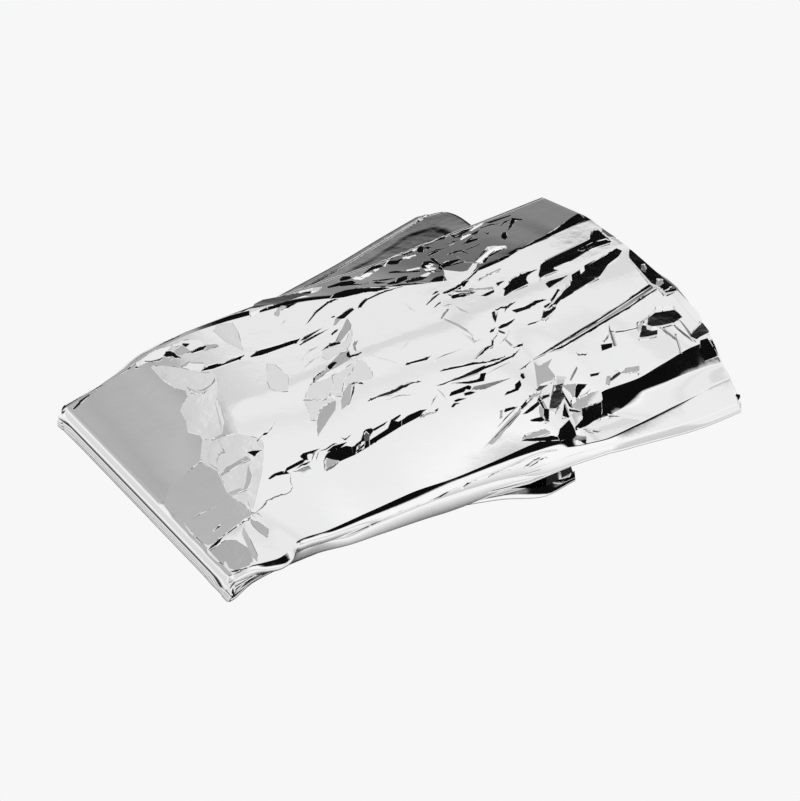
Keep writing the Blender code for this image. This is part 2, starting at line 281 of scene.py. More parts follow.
def column_place(x, flat):
    return np.clip(straight(flat, Sections(x).flat, list(MARKS.values())), 0.0, 1.0)


def bezier(t, a, b, c):
    return (1 - t) ** 2 * a + 2 * t * (1 - t) * b + t * t * c


def top_surface(x, v):
    """The points (x, y, z) of the middle of the top ply, at x and the place v across the film."""
    shape = np.broadcast(x, v).shape
    x, v = (np.broadcast_to(a, shape).ravel().astype(float) for a in (x, v))
    s = Sections(x)

    def share(first, last):
        return np.clip((v - MARKS[first]) / (MARKS[last] - MARKS[first]), 0, 1)

    knee_z = np.maximum(s.low[1] - np.interp(x, *KNEE_DROP) * (s.low[0] - s.front), s.edge[1] + KNEE_RISE)
    t = 1 - (1 - share("edge", "low")) ** LOW_CLOSENESS
    below = bezier(t, s.edge, np.stack([s.front, knee_z]), s.low)

    step = s.foot - s.brink
    reach = np.minimum(np.interp(x, *FACE_REACH), FACE_REACH_MOST * np.linalg.norm(s.foot - s.low, axis=0))
    bulge = s.foot + step / np.linalg.norm(step, axis=0) * reach
    face = bezier(share("low", "foot") ** LOW_CLOSENESS, s.low, bulge, s.foot)
    steep = s.foot + share("foot", "brink") * (s.brink - s.foot)

    y = s.brink[0] + share("brink", "shoulder") * (s.shoulder[0] - s.brink[0])
    crest_y = np.minimum(s.front + ACROSS["crest"] * s.width, s.shoulder[0] - CREST_BEFORE_CREASE)
    t = (y - s.brink[0]) / (crest_y - s.brink[0])
    rise = s.shoulder[1] - s.brink[1]
    top = np.stack([y, s.brink[1] + rise * (1 - np.clip(1 - t, 0, 1) ** FRONT_BOW)])

    room = s.roll[0] - s.shoulder[0]
    y = s.shoulder[0] + share("shoulder", "roll") * room
    width = np.minimum(station(BACK_CREASE, "step", x), BACK_STEP_MOST * room)
    ys = np.stack([s.shoulder[0], s.shoulder[0] + width, s.roll[0]], axis=-1)
    zs = np.stack([s.shoulder[1], s.shoulder[1] - BACK_STEP_FALL * width, s.roll[1]], axis=-1)
    back = np.stack([y, straight(y, ys, zs)])

    start, sweep = BACK_ROLL_TURN
    turn, start = np.radians(start + sweep * share("roll", "end")), np.radians(start)
    out, up = BACK_ROLL_FLAT * (np.sin(turn) - np.sin(start)), np.cos(turn) - np.cos(start)
    rolled = s.roll + s.radius * np.stack([out, up])

    which = [v < MARKS[name] for name in ("low", "foot", "brink", "shoulder", "roll")]
    y, z = (np.select(which, [below[k], face[k], steep[k], top[k], back[k]], rolled[k]) for k in (0, 1))
    return np.stack([x, y, z], axis=-1).reshape(shape + (3,))


def top_end(v):
    """x of the top ply's right end at the places v."""
    share = np.clip((v - END_START) / END_WIDTH, 0, 1)
    return curve(np.atleast_1d(share), UPPER_END["share"], UPPER_END["x"])


def flap_relief(x, y, inside):
    """How the lower flap's top rises from its back edge, in two faces with a narrow steeper step between."""
    crease = station(FLAP_CREASE, "inside", x)
    outer, step, inner = (math.tan(math.radians(t)) for t in FLAP_TILTS)
    rise = outer * np.minimum(inside, crease) + inner * np.clip(inside - crease, 0, FLAP_FACE)
    rise += (step - inner) * np.clip(inside - crease, 0, FLAP_STEP)
    return rise * np.interp(x, FLAP_X, (0, 1)) * np.interp(y, FLAP_Y, (0, 1))


def lip_fade(share):
    """How much of the lower flap's lifted front is left, at a share of its width."""
    return np.clip(1 - share / LIP_FADE, 0, 1) ** LIP_POWER


def lower_ply(level, u, end_x=0.0):
    """Rows of a ply of the lower flap, at the shares u of its length."""
    u = np.asarray(u, float)[:, None]
    x_end = curve(COLUMNS, LOWER_END["share"], LOWER_END["x"])[None] + end_x
    x = BEND_X + u * (x_end - BEND_X)
    inset = 0.0 if level == 2 else LOWER_INSET
    y_front = station(LOWER, "bottom" if level == 0 else "y_front", x) + inset
    if level == 2:
        y_front = y_front + station(LOWER, "tuck", x)
    y_back = station(LOWER, "y_back", x) - inset
    y = y_front + COLUMNS[None] * (y_back - y_front)
    lip = station(LOWER, "lip", x) - station(LOWER, "sag", x)
    lifts = (0.0 * x, lip, lip + LIP_GAP * u)
    z = PLY / 2 + level * PITCH + lifts[level] * lip_fade(COLUMNS)[None]
    if level == 0:
        z = z + station(LOWER, "curl", x) * np.interp(y - y_front, *CURL)
    if level == 2:
        z = z + flap_relief(x, y, y_back - y)
    return np.stack([x, y, z], axis=-1)


def ceiling_of_lower(x, y):
    """Height of the lower flap's top ply, which falls to the surface beyond the lower flap's end."""
    front, back = station(LOWER, "y_front", x), station(LOWER, "y_back", x)
    share = np.clip((y - front) / (back - front), 0, 1)
    end = curve(share.ravel(), LOWER_END["share"], LOWER_END["x"]).reshape(share.shape)
    height = 2 * PITCH + (station(LOWER, "lip", x) + LIP_GAP) * lip_fade(share)
    beyond, length = CEILING_FALL
    return PLY / 2 + height * np.clip(1 - (x - end - beyond) / length, 0, 1)


def inner_ply(level, u, end_x=0.0):
    """Rows of the second or third ply of the upper flap, level 1 or 2, at the shares u of its length."""
    u = np.asarray(u, float)[:, None]
    x_end = curve(COLUMNS, UPPER_END["share"], UPPER_END["x"])[None] + end_x
    x = BEND_X + u * (x_end - BEND_X)
    y_front, y_back = station(UPPER, "y_front", x), station(UPPER, "y_back", x)
    away = np.minimum(1.0, x / INNER_FROM)
    inset = INNER_INSET * away
    y = y_front + inset + COLUMNS[None] * (y_back - y_front - 2 * inset)
    cover = cad_height(x, (y - y_front) / (y_back - y_front))
    floor = ceiling_of_lower(x, y) + PITCH
    third = np.minimum(np.maximum(cover - 2 * (PITCH + INNER_DROP * away), floor), cover - 2 * PITCH)
    z = third if level == 2 else (cover + third) / 2
    return np.stack([x, y, z], axis=-1)


# The left end, from the floor up: share of its height, how far it bulges, and how much painted shade darkens
# the film between plies.
LEFT_END = [
    (0.02, 1.5, 0), (0.05, 2.6, 0), (0.09, 3.2, 0), (0.13, 3.5, 0), (0.18, 3.55, 0), (0.20, 3.3, 0.35),
    (0.22, 3.5, 0), (0.28, 3.6, 0), (0.32, 3.5, 0), (0.34, 3.3, 0.3), (0.36, 3.5, 0), (0.42, 3.6, 0),
    (0.46, 3.5, 0), (0.48, 3.3, 0.3), (0.50, 3.5, 0),
    (0.55, 3.55, 0), (0.575, 3.45, 0), (0.585, 3.35, 0.9), (0.60, 3.2, 1),
    (0.615, 2.6, 1), (0.625, 1.6, 1), (0.65, 1.0, 1), (0.66, 1.9, 1), (0.675, 2.9, 1), (0.685, 3.05, 0),
    (0.71, 3.15, 0), (0.77, 3.1, 0), (0.83, 2.75, 0), (0.89, 2.15, 0), (0.94, 1.4, 0), (0.975, 0.7, 0),
]


def left_bend(start, end):
    """The rows of the left end, between the bottom ply's and the top ply's."""
    rows = []
    for share, bulge, _ in LEFT_END:
        row = start + share * (end - start)
        row[:, 0] -= bulge
        rows.append(row)
    return np.array(rows)


def bend(start, end, steps, out, squareness=2.0, most=10.0):
    """The rows between two plies, round a bend that bulges towards out."""
    half = (start - end) / 2
    reach = np.minimum(np.linalg.norm(half, axis=1, keepdims=True), most)
    angle = (np.pi * np.arange(1, steps) / steps)[:, None, None]
    c = np.sign(np.cos(angle)) * np.abs(np.cos(angle)) ** (2 / squareness)
    s = np.sin(angle) ** (2 / squareness)
    return (start + end)[None] / 2 + half[None] * c + reach[None] * s * np.array(out)


def top_grid():
    """(x, v) of the top ply's rows and columns."""
    ends = top_end(COLUMNS)[None]
    x = BEND_X + spread(ROW_MARKS, MARK_ROWS)[:, None] * (ends - BEND_X)
    return x, np.broadcast_to(COLUMNS[None], x.shape)


def with_tip(rows):
    """The rows, with the front corner of the left end drawn out into a small tip near the floor."""
    x, y, z = rows[..., 0], rows[..., 1], rows[..., 2]
    rows[..., 1] -= (TIP_REACH * np.clip(1 - x / TIP_LENGTH, 0, 1) * np.clip((TIP_Y - y) / TIP_WIDTH, 0, 1)
                     * np.clip((TIP_TOP - z) / TIP_HEIGHT, 0, 1))
    return rows


def blanket_rows():
    """(rows, name of each row's part) of the film, from the bottom ply to the end of the third."""

    def along(name):
        return np.linspace(0, 1, ROWS[name])

    left, right = (-1.0, 0.0, 0.0), (1.0, 0.0, 0.0)
    bottom = lower_ply(0, along("bottom")[::-1], BOTTOM_END)
    top = top_surface(*top_grid())
    second = inner_ply(1, along("second")[::-1])
    second_low = lower_ply(1, along("second_low"))
    third_low = lower_ply(2, np.append(1, FOLD_START * along("third_low")[::-1]))
    third = inner_ply(2, along("third"), THIRD_END)
    parts = [
        ("bottom", bottom),
        ("left_bend", left_bend(bottom[-1], top[0])),
        ("top", top),
        ("right_fold", bend(top[-1], second[0], ROWS["right_fold"], right, FOLD_SQUARENESS, FOLD_REACH)),
        ("second", second),
        ("middle_bend", bend(second[-1], second_low[0], ROWS["middle_bend"], left, BEND_SQUARENESS)),
        ("second_low", second_low),
        ("low_fold", bend(second_low[-1], third_low[0], ROWS["low_fold"], right)),
        ("third_low", third_low),
        ("inner_bend", bend(third_low[-1], third[0], ROWS["inner_bend"], left)),
        ("third", third),
    ]
    names = [name for name, rows in parts for _ in rows]
    return with_tip(np.concatenate([rows for _, rows in parts])), np.array(names)


def unit(v):
    return v / np.maximum(np.linalg.norm(v, axis=-1, keepdims=True), TINY)


def normals_of(grid):
    """Unit normals that point out of the top ply, and so down out of the bottom one."""
    along = np.gradient(grid, axis=0)
    across = np.gradient(grid, axis=1)
    return unit(np.cross(along, across))


def top_normals(x, v):
    """As normals_of, at single places of the top ply."""
    dx, dv = NORMAL_STEPS
    along = top_surface(x + dx, v) - top_surface(x - dx, v)
    across = top_surface(x, np.minimum(v + dv, 1)) - top_surface(x, np.maximum(v - dv, 0))
    return unit(np.cross(along, across))


def with_hems(grid, normals):
    """The grid with each long edge turned under in a narrow pressed fold."""
    turns = np.radians(HEM_TURNS)
    sides = []
    for edge, inner in ((0, 1), (-1, -2)):
        out = unit(grid[:, edge] - grid[:, inner])
        n = normals[:, edge]
        points = [grid[:, edge] + HEM_RADIUS * (np.sin(a) * out + (np.cos(a) - 1) * n) for a in turns]
        points += [points[-1] - reach * out for reach in HEM_REACHES]
        sides.append(np.stack(points, axis=1))
    return np.concatenate([sides[0][:, ::-1], grid, sides[1]], axis=1)


LINE_STEP = 1.0  # longest step along the lines of a crease or a facet
WALL = 0.2  # width of the steep wall round a facet
MITRE_LEAST = 0.5  # keeps the wall short at a sharp corner
THINNEST = 0.02  # width of a crease's faces at its ends
BORDER = 0.5  # round the box in which a crease's relief is worked out
BAND_TIP = 0.5  # width in pixels of a band of facets at its ends
CORNER_LEAST = 0.32  # a corner that stands out less than this is left out
NEAR_END, BEYOND_END = 2.5, 3.0  # where a corner beside the right end goes beyond it, and how far
LEAST_FACING = 0.2  # how far a facet has to face the camera, as a cosine
SEARCH, SEARCH_TURNS = (14, 0.5), 24  # how many pixels away, by what steps and in how many directions to look
NORMAL_STEPS = (0.5, 0.004)  # in x and in place across, for the top's normals
PLANE = (250.0, 160.0)  # the flat rectangle in which the top ply is cut into triangles
PLANE_LOW, PLANE_HIGH = (0.6, 0.4), (249.6, 159.6)  # the part of it where creases may lie
CLEAR_OF_LINES = 0.4  # a lattice point nearer to a crease's line than this is left out
MERGE = 1e-5  # points nearer than this to one another become one

# Creases of the top ply. Each has its tilt in degrees, how steeply its near side rises, and its ridge's points
# in the photo: pixel across, pixel down, and how many pixels wide the face is that falls to the ridge's left.
CREASES = [
    # on the top's broad face
    (7, 50, "281,306,0 284,309.5,4 288,309,5 292,306,3 297,303,0"),
    (5, 40, "302,358,0 310,351,1 319,346,0"),
    (5, 40, "302,370,0 310,363,1.2 317,357,0"),
    (7, 50, "434,360,0 445,355.5,1 460,350,0"),
    (3, 40, "401,349,0 406,345,1 412,340,0"),
    (6, 50, "484,376,0 492,371.5,1 500,367.5,1 511,361.5,0"),
    # along the front
    (7, 50, "523,467,0 529,465.5,2 534,462.5,2 539,459.5,2 546,457,0"),
    (6, 50, "430,500.5,0 440,497,1.2 448,492.5,1.2 455,488,0"),
    (6, 50, "462,488,0 468,484,1.5 473,481.5,1.5 476,480,0"),
    (6, 50, "487,478,0 495,473.5,1.2 503,471.5,1.2 510,469.5,0"),
    (6, 50, "345,536,0 370,526,1 400,512,1 420,504.5,1 432,500.5,0"),
    (6, 50, "524,466.5,0 529,465,1.5 535,461,1.8 541,457,0"),
]

# The greys that facets mirror, and how far off each a facet may be.
TONES = {
    "k": (0.004, 0.012), "e": (0.07, 0.04), "d": (0.15, 0.06), "m": (0.30, 0.08),
    "g": (0.44, 0.06), "h": (0.55, 0.08), "l": (0.73, 0.08), "w": (0.9, 0.1),
}

# Flat facets, placed where the photo shows a mark. Each has its tone, then 0 and its corners' pixels,
# or a width in pixels and the pixels along a narrow band, some of them with a width of their own.
FACETS = [
    # crumpled front of the right half
    ("g", 0, "534,361 539,365.5 544,363 552,359.5 548,367.5 552,373 555,378 551,383 541,386 537.5,386 "
     "537,378"),
    ("d", 0, "540,384 552,382 545,387 541,391 537,392 536,389"),
    ("k", 0, "555,376 566,377 562.5,385 562,390 564.5,399.5 562,402 560,407 555,411.5 549,410.5 550.5,405 "
     "551,398 552,394 553.5,388"),
    ("k", 0, "539,396 549.5,393.5 549,397 544,399 541,401 538,402"),
    ("k", 0, "539,397 543,401 546,408 549,412 549,422 545,422.5 544,412 541,405 537,402"),
    ("g", 0, "539.5,405.5 543.5,409 544,416 540,417"),
    ("k", 0, "523,414 526,411 538.5,401.5 540,404 533,410 527,413.5"),
    ("k", 0, "530,420 537,417.5 542,417 545,420 541,421.5 531,421"),
    ("g", 0, "526,400 530,395 540,391.5 542,394 538,396.5 531,399"),
    ("d", 0, "520,408 527,400 533,398.5 529,403 522,410"),
    ("g", 0, "488,443 491,440 503,427 516,412 520,409 521,412 512,423 500,437 492,445"),
    ("g", 0, "522,440 525.5,434 540,430 545,429 550,432.5 545,435 540,436 526,438.5"),
    ("k", 0, "521,441 526,439 540,437 551,436 560,437 560,440 540,441"),
    ("k", 0, "558,436 560,429 569,421 573,426 576,435 586,437 585.5,444 580,440.5 570,438 560,441"),
    ("k", 0, "562.5,417.5 563,408 564.5,401 570,416 568,418"),
    ("k", 0, "562,389 565,395 571,404 573,408 569,407 565,400 562,394"),
    ("g", 0, "561,384.5 576,384.5 575,396 573,397 570,392 566,388"),
    ("k", 0, "575.5,388 577.5,384.5 587,384.5 581,391 577,398 575,396"),
    ("d", 0, "580,396 591,388.5 586,395 582,397"),
    ("g", 0, "571,400.5 577,397.5 589,393.5 600.5,391 601,402 594,405 582,408 580,410 574,408 571,404"),
    ("k", 0, "569,409 581,411 582,412.5 575,411.5 569,411"),
    ("g", 0, "570.5,412 581,413 582,419 576,424 573,418"),
    ("k", 0, "581,411 594,406 601,402 602,410 600,420 590,424 580,428 576,430 575,426 583,419"),
    ("d", 0, "579,427 585,429 596,431 603,430 596,433 588,431.5"),
    ("d", 0, "608,414 620,416.5 609,417.5"),
    ("k", 0, "504.5,395.5 507,392 512,390 515.5,389 515,385 520,381 521.5,385 518,390 509,393.5"),
    ("k", 0, "504,411.5 505.5,409 514,407 517,407.5 505,412"),
    ("g", 0, "499.5,419 500.5,411 503,410 502,417"),
    ("k", 0, "521,373 524,372.5 525,377 523,380 520.5,377"),
    ("k", 0, "519,370 522,367 531,361 525,367.5"),
    ("k", 0, "576.5,353 580,354.5 587,353 586,355 579,356"),
    ("k", 0, "601,345 612,343.5 612,347 602,350.5"),
    ("k", 0, "603,341 609,334 608,339 604,342"),
    ("d", 0, "609,324 611,330 613,331 617,345 614,347 611,338 609,332"),
    ("k", 0, "590,374.5 600,372.5 598,375 591,376.5"),
    ("m", 0, "570,379 575,371 576.5,367 577.5,369 574,376 571,380.5"),
    ("k", 0, "610,380 612,376 620,371 621,374 615,379 611,381.5"),
    ("g", 0, "606,384 606.5,376.5 610,376 609.5,385"),
    ("g", 0, "615,371 627,367.5 639,367.5 639,373 622,373 620,371"),
    ("g", 0, "636.5,323 648,317 648.5,319 646.5,326.5 638.5,331 636,327"),
    ("k", 0, "649.5,326.5 657,327 656,333 647,336 645,335 647,329"),
    ("d", 0, "615,331 624,330 638,327 638,328.5 624,332 616,333"),
    ("d", 0, "670,323 673,323.5 694,340 692,342"),
    ("m", 0, "679,320 681,320.5 694,337 692,339"),
    ("d", 0, "674.5,334 676.5,334 679,342 682,353 680,353 677,343"),
    ("m", 0, "659,326 661,326 677,338 676,340 668,335"),
    # right end's rim
    ("k", 0, "629.3,249 631.5,246.5 656,266.5 661.5,269.5 666,278 678.5,288 665,295 658.5,288 652,286.5 "
     "649,283.5 629.3,259"),
    ("d", 0, "641.5,265 644.5,263.5 646.5,268 645,273 641.5,270.5"),
    ("m", 0, "656,283.5 657,279 663,279 663,283.5 658.5,288 656,286.5"),
    ("d", 0, "661.5,291 673.5,283 676,285 664,293"),
    ("d", 0, "598.5,223.5 604,226.5 611.5,230 618.5,235.5 608.5,238 602,232"),
    ("k", 0, "702,345 713,338 723,353 707,360 704,355"),
    # long dark bands towards the back right corner
    ("k", 0, "534,359 548,350 560,342 570,335.5 580,328.5 600,317 625,301 649,284.5 653,286.5 625,304 "
     "600,320 575,335.5 560,345 545,354"),
    ("m", 0, "560,345 575,335.5 600,320 625,304 653,286.5 656,287.5 630,305 600,322.5 575,337.5 562,346"),
    ("k", 0, "546,353 560,346 575,338 600,323 630,305 656,288 658,289.5 630,308 600,325.5 575,341 562,349"),
    ("k", 0, "590.7,234 594,228 598.5,228.5 603,234 611.5,243 600.5,246 592,249 580,256 569,262 "
     "562.5,264.5 555,267 553,269.4 558,271 545,276 540,279.5 538.8,276 540.6,270 541,264 544,260.5 "
     "555,255 571,247.5 590,238"),
    ("k", 0, "578,250 592,242.5 606,239 609,241 597,244.5 582,251"),
    ("k", 0, "571,275.5 580,270 585,265.5 596,260 608,253.5 616.5,248.5 622,252 618.5,258 613,261.5 "
     "608,265.5 605,270 600,277.5 590,283.5 580,289 570,295 561,300 556,306 552,314 545,320 541,319 "
     "545,312 551,305 556,298 561,292 564,286.5 570,281"),
    ("k", 0, "545,282.5 550,280 561,277 568.8,275 565,278 555,284 549,289"),
    ("k", 0, "550,299 554,292 557,288.5 560,290 556,296 552,303"),
    ("k", 0, "517,250.5 532,242 542,236.5 555,229.5 562.5,223.8 570,218.8 577.5,214.4 580,214.4 585.6,220 "
     "580,222.5 573.8,225.6 562.5,231 550,236.5 536,243 525,248"),
    # back slope
    ("k", 0, "335,293.5 345,290.5 356,288.5 365,287.5 380,287 390,288.5 380,291 363,292.5 352,295.5 "
     "344,297.5 330,298.5"),
    ("k", 0, "340,279 343,277 350,276.5 352,278 346,280 340,281"),
    ("k", 0, "327,287 334,284.5 341,282.5 352,281 356,282 350,285.5 341,285.5 335,286.5 328,288"),
    ("w", 0, "352,278.5 356,276.5 362,276.5 365,278.5 360,280 354,279.5"),
    ("w", 0, "360,276.5 366,272.5 371,272 373,273.5 368,276.5 363,278"),
    ("w", 0, "373,270 378,268 380,269 375,271.5"),
    ("k", 0, "360,275.5 366,271 372,267 380,265 385,265.5 378,268 372,270 366,272.5"),
    ("w", 0, "383,266 387,260.5 390,260 387,264 385,266.5"),
    ("k", 0, "386,264 389,261 396,260.5 400,259 403,258.5 400,261 397,264 391,264.5"),
    ("k", 0, "389,259 395,254 398,252.5 397,255 392,259.5"),
    ("w", 0, "402,258 404,256.5 411,255.5 415,254 416,255.5 410,258 404,259"),
    ("k", 0, "402,254 407,253 413,250 412,252.5 404,255.5"),
    ("w", 0, "411,249 416,247.5 418,249 415,251 412,251"),
    ("k", 0, "417,250 420,246 424,247 423,252 418,252.5"),
    ("w", 0, "406,270 413,268.5 420,267 420,268.5 412,270 407,271"),
    ("k", 0, "388,272 396,271 405,271.5 420,270.5 420,272 405,272.5 390,273"),
    ("k", 0, "395,283 398,279 404,276.5 408,276 407,279 401,282 396,284"),
    ("k", 0, "386,284 395,281 396,283.5 390,284.5"),
    ("k", 0, "406,282 412,278.5 418,277 419,279 413,281.5 407,283"),
    ("k", 0, "367,282.5 378,282 388,283 378,283.7"),
    ("k", 0, "421,266 424,262 430,261 435,262 440,263 438,264.5 430,264 425,268 422,268"),
    ("w", 0, "425,266 430,263.5 434,264 432,266 428,267.5"),
    ("w", 0, "424,269 430,267 436,268 434,272 430,271 426,271"),
    ("l", 0, "421,276 428,273 431,273 427,276 422,278"),
    ("k", 0, "430,258 434,258.5 440,264 446,262 449,263.5 443,267 442,270 438,268.5 439,265 434,262"),
    ("w", 0, "443,263 448,260.5 450,261 446,263.5"),
    ("k", 0, "430,280.5 436,277.5 443,275.5 444,277.5 443,281 436,281 431,281"),
    ("k", 0, "424,244.5 430,241.5 437,238.5 445,237 445,238.5 438,240.5 431,243.5 425,245.5"),
    ("k", 0, "423,248 428,246.5 432,247.5 428,249.5"),
    ("k", 0, "428,255 433,252 439,250 438,252 433,254.5 429,256"),
    ("k", 0, "448.8,235 456,235 462.5,230.6 470,228.8 468.8,231 462.5,233.8 460,237 454,238"),
    ("w", 0, "469.8,230.6 474.4,226 483.8,222.5 482.5,224.4 476,228 471,231"),
    ("w", 0, "460,239.4 462.5,236 467.5,233.8 471,234.4 466,237.5 461,240"),
    ("k", 0, "463.8,242.5 470,240 477,238 478,239.4 471,241.9 466,243.8"),
    ("k", 0, "471,234.4 477,231 480,230 477.5,233 473,235"),
    ("k", 0, "485,223 491,221 500,218 510,215 511,215.6 500,219.4 490,223"),
    ("k", 0, "512,218.8 522.5,218.8 522,219.8 515,220.6 512,226 510,228 507,231 508.8,225.6 511,221"),
    ("k", 0, "502,233 506,232.5 507.5,237.5 505,239.4 501,237.5"),
    ("k", 0, "482.5,231 486,233 491,232.5 487,234.5"),
    ("w", 0, "487.5,247 492.5,246 500,246 506,247 501,248.8 495,251 488.8,255 485,260 481.9,263 "
     "479.4,262.5 474.4,262 480,256"),
    ("k", 0, "488.8,255 495,251.9 501.9,248.8 503.8,249.4 496,253 490,257"),
    ("k", 0, "483,262 485.6,258 488.8,255.6 487.5,260 483.8,263"),
    ("k", 0, "500,258 505,256 510,254.4 508.8,257.5 503.8,259.4 498,261"),
    ("w", 0, "443.8,272 460,272 467,271 473,264.4 477.5,263.8 476,267.5 468.8,277 463.8,282.5 458,284 "
     "451,282.5 446,279"),
    ("k", 0, "459,286 462,281.5 468,278 474,272 479,267.5 477,271.5 470,279 464,284.5"),
    ("k", 0, "442.5,292.5 452.5,288.8 460,285.6 461,288.8 452.5,291 445,293.8"),
    ("k", 0, "448,294.4 455,293.8 462.5,293.8 471,294.4 461,297.5 453.8,298"),
    ("d", 0, "455,290 467.5,290 473.8,291.9 465,293 456,292.5"),
    ("g", 0, "477.5,279.4 483.8,275.6 500,269 500,270.5 484,277 479,281"),
    ("g", 0, "468.8,288.5 480,288.5 492.5,287.5 493,289 480,290 470,290"),
    ("k", 0, "480,296 486,293 493.8,290 494.4,292.5 486,296"),
    ("k", 0, "503.8,296 505,290 503,288 508.8,283 510,279.4 517.5,275 520,272.5 537.5,269.4 533.8,272 "
     "527.5,275 526,280 528.8,284.4 520,288 511,292.5 505,297"),
    ("k", 0, "496,283 502.5,281 505,280.6 502,283.5 498,286"),
    # middle
    ("l", 0, "309,386 314,382 326,378 332,375 334,385 330,396 322,400 312,399 305,397"),
    ("l", 0, "332,375 340,371 352,363 356,361 352,372 344,380 342,390 341,396 330,396 334,385"),
    ("l", 0, "356,361 360,359 366,363 372,372 373,377 368,380 356,382 346,386 344,380 352,372"),
    ("l", 0, "303,399 312,399 322,400 330,397 335,402 322,405 318,412 316,420 311,420 308,408"),
    ("l", 0, "322,351 330,347 340,345 346,341 349,333 352,330 352,341 347,349 340,352 332,357 327,360 "
     "323,357"),
    ("k", 0, "306,325 309,320 313,313.5 317,308.5 321,305.5 327,301 335,299 338,300 328,303.5 322,308 "
     "317,312 313,317 309,322.5"),
    ("k", 0, "336,318 338,316.5 341,314 347,310.5 352,307 354,309.5 351,312 347,316 344,319 339,319.5"),
    ("k", 0, "331,317 334,315.5 335,317 332,318"),
    ("g", 0, "335,318.5 341,319.5 340,321 337,324 334,325"),
    ("k", 0, "358,308.5 360,303 362,301 366,298.5 373,295 381,291.5 390,289 404,286 392,290.5 381,293.5 "
     "373,297 367,300 363,304.5 361,308"),
    ("g", 0, "347,318 349,321 351,325 350,330 347,334 344,338 341,341 336,341 338,337 342,330 344,325 "
     "346,320"),
    ("k", 0, "331,334 334,331 338,329 336.5,332 332,335"),
    ("k", 0, "322,350.5 326,346.5 330,343 335,341.5 340,341.5 341,343.5 336,345 330,346.5 326,348.5"),
    ("k", 0, "328,346 333,342.5 340,342 340.5,343.5 335,345 329,346.7"),
    ("g", 0, "313,382.5 315,376 320,372.5 325,370 328,364 332,359 339,353 345,351 348,349.5 348,356 "
     "351,359 345,362.5 338,367 330,371 322,376 318,380"),
    ("k", 0, "329,364 334,361 337,362 334,366.5 329,370 327,367"),
    ("k", 0, "313,383.5 313.5,377 317,373.5 321,372.5 321,374 317,375.5 315,378 314.5,383"),
    ("k", 0, "347,356.5 347,352 349,350 350,353 350,356 355,354 361,352 362,353 355,356 350,358.5"),
    ("m", 0, "353,344 355,341 357.5,341 355,346 356,351 354.5,351 353,347"),
    ("h", 0, "341,400 342.5,394 345.5,388 349,384.5 352,383.5 353.5,385 353,392 351,400 348.5,404 345,407 "
     "342,409 341,405"),
    ("k", 0, "351.8,384 354.5,384.5 353.5,392 351.5,399 350,403 350.7,396 351.5,390"),
    ("k", 0, "350,384 354,381.5 360,382 363,383 363,384 356,383 352,385"),
    ("g", 0, "317,420 319,411 323,406.5 329,403.5 335,401 336,404 335,411 332,416 328,421 322,430 318,436 "
     "317,428"),
    ("k", 0, "368,401 371,398 377,396 384,393.5 390,391.5 396,387.5 402,384 409,382 420,381 421,381.5 "
     "412,383.5 406,386.5 399,391 392,394.5 388,396 380,397 374,398.5 369,401.7"),
    ("k", 0, "405,364.5 408,362 415,360.5 422,358.5 427,357 431,355 430,357 427,360.5 420,361.7 412,363.3 "
     "406,365"),
    ("k", 0, "300,341 304,337 310,333.5 316,330.5 324,327 318,331 311,335.5 306,339"),
    ("k", 0, "299,345 304,341 311,337.5 319,333 329,329 322,333 314,337.5 306,342.5 300,345.5"),
    # middle of the right half
    ("k", 0, "426,304.5 431.7,298.3 437,294.4 439.4,292.8 439.4,294.4 432.8,300 426.7,305.2"),
    ("k", 0, "431.7,295 435,291.7 438.9,291 438,292.4 434.4,294.4"),
    ("k", 0, "433.9,307.8 437,303.9 440.6,301.7 440.6,303.3 437,306"),
    ("m", 0, "442.8,306 448,304.2 453.9,303.6 448,305.5"),
    ("k", 0, "442,293.9 447,290.6 455,287 461.7,283 466,280 469,280 465,285.6 463,286.7 461.7,285.6 "
     "456,289.4 448,293.3"),
    ("k", 0, "451,296.7 452.8,294.4 459.4,292.8 469.4,292.8 476,291.7 471.7,293.9 461.7,294 457,296 "
     "459.4,297 455,298.9 452,298.3"),
    ("m", 0, "460.5,290.5 469.4,289.8 474,291 469.4,292 461.7,291.7"),
    ("k", 0, "511,310 519.4,307.8 525,306 529.4,303.3 535,300 541.7,299 547,300 539.4,302.4 535,304.6 "
     "529.4,309 522.8,310.9 517,313.2"),
    ("k", 0, "541.7,318.9 543.3,313.3 543.9,309.4 550.6,308.3 552.8,305.6 555.6,305 556,308.9 551.7,313.3 "
     "547.8,317 542.8,319.4"),
    ("k", 0, "543.3,306.7 548.3,303.3 552.8,301 549.4,305 545,307.8"),
    ("k", 0, "527,324.4 532.8,322.5 540.6,320.4 536,322.6 528,325"),
    ("k", 0, "497.8,327.8 500.6,324.4 507,322.2 512.8,318.9 514.8,318.9 511.7,323.3 507,326.9 500.6,329.2"),
    ("k", 0, "489.4,332 491.7,328.9 495,327.8 493.9,330.6 491,332.6"),
    ("k", 0, "495,309.5 500.6,306 507,306.2 512.8,302 516.7,300.6 511.7,305.2 507,309 504.4,313.3 "
     "505.6,308.5 500.6,308 497,310.5"),
    ("k", 0, "492,313 495,310 496,316 498,311 497,319 495.5,323.5 493,319"),
    ("k", 0, "474.4,358.3 480.6,352 485,347 491.7,345.6 491.7,340 496,334.4 497.8,332 496.7,335.6 "
     "493.3,340 493.3,346.7 489.4,348.3 485,351.3 480.6,355.3 476,358.5"),
    ("k", 0, "498,330 505,332.5 505,334 499,332"),
    ("m", 0, "503.5,338.5 505,338.5 512.5,345 511,346"),
    ("k", 0, "518,344 522.5,343 523,345.5 519,347.5 512,347.6 517,346"),
    ("k", 0, "440,371 449.4,367 461.7,365 472.8,361.7 487,361.7 496,358.3 505,355.6 505,356.8 496,360.8 "
     "488.3,363.2 475,364.6 463.9,367.2 450.6,369.6 441.7,371.7"),
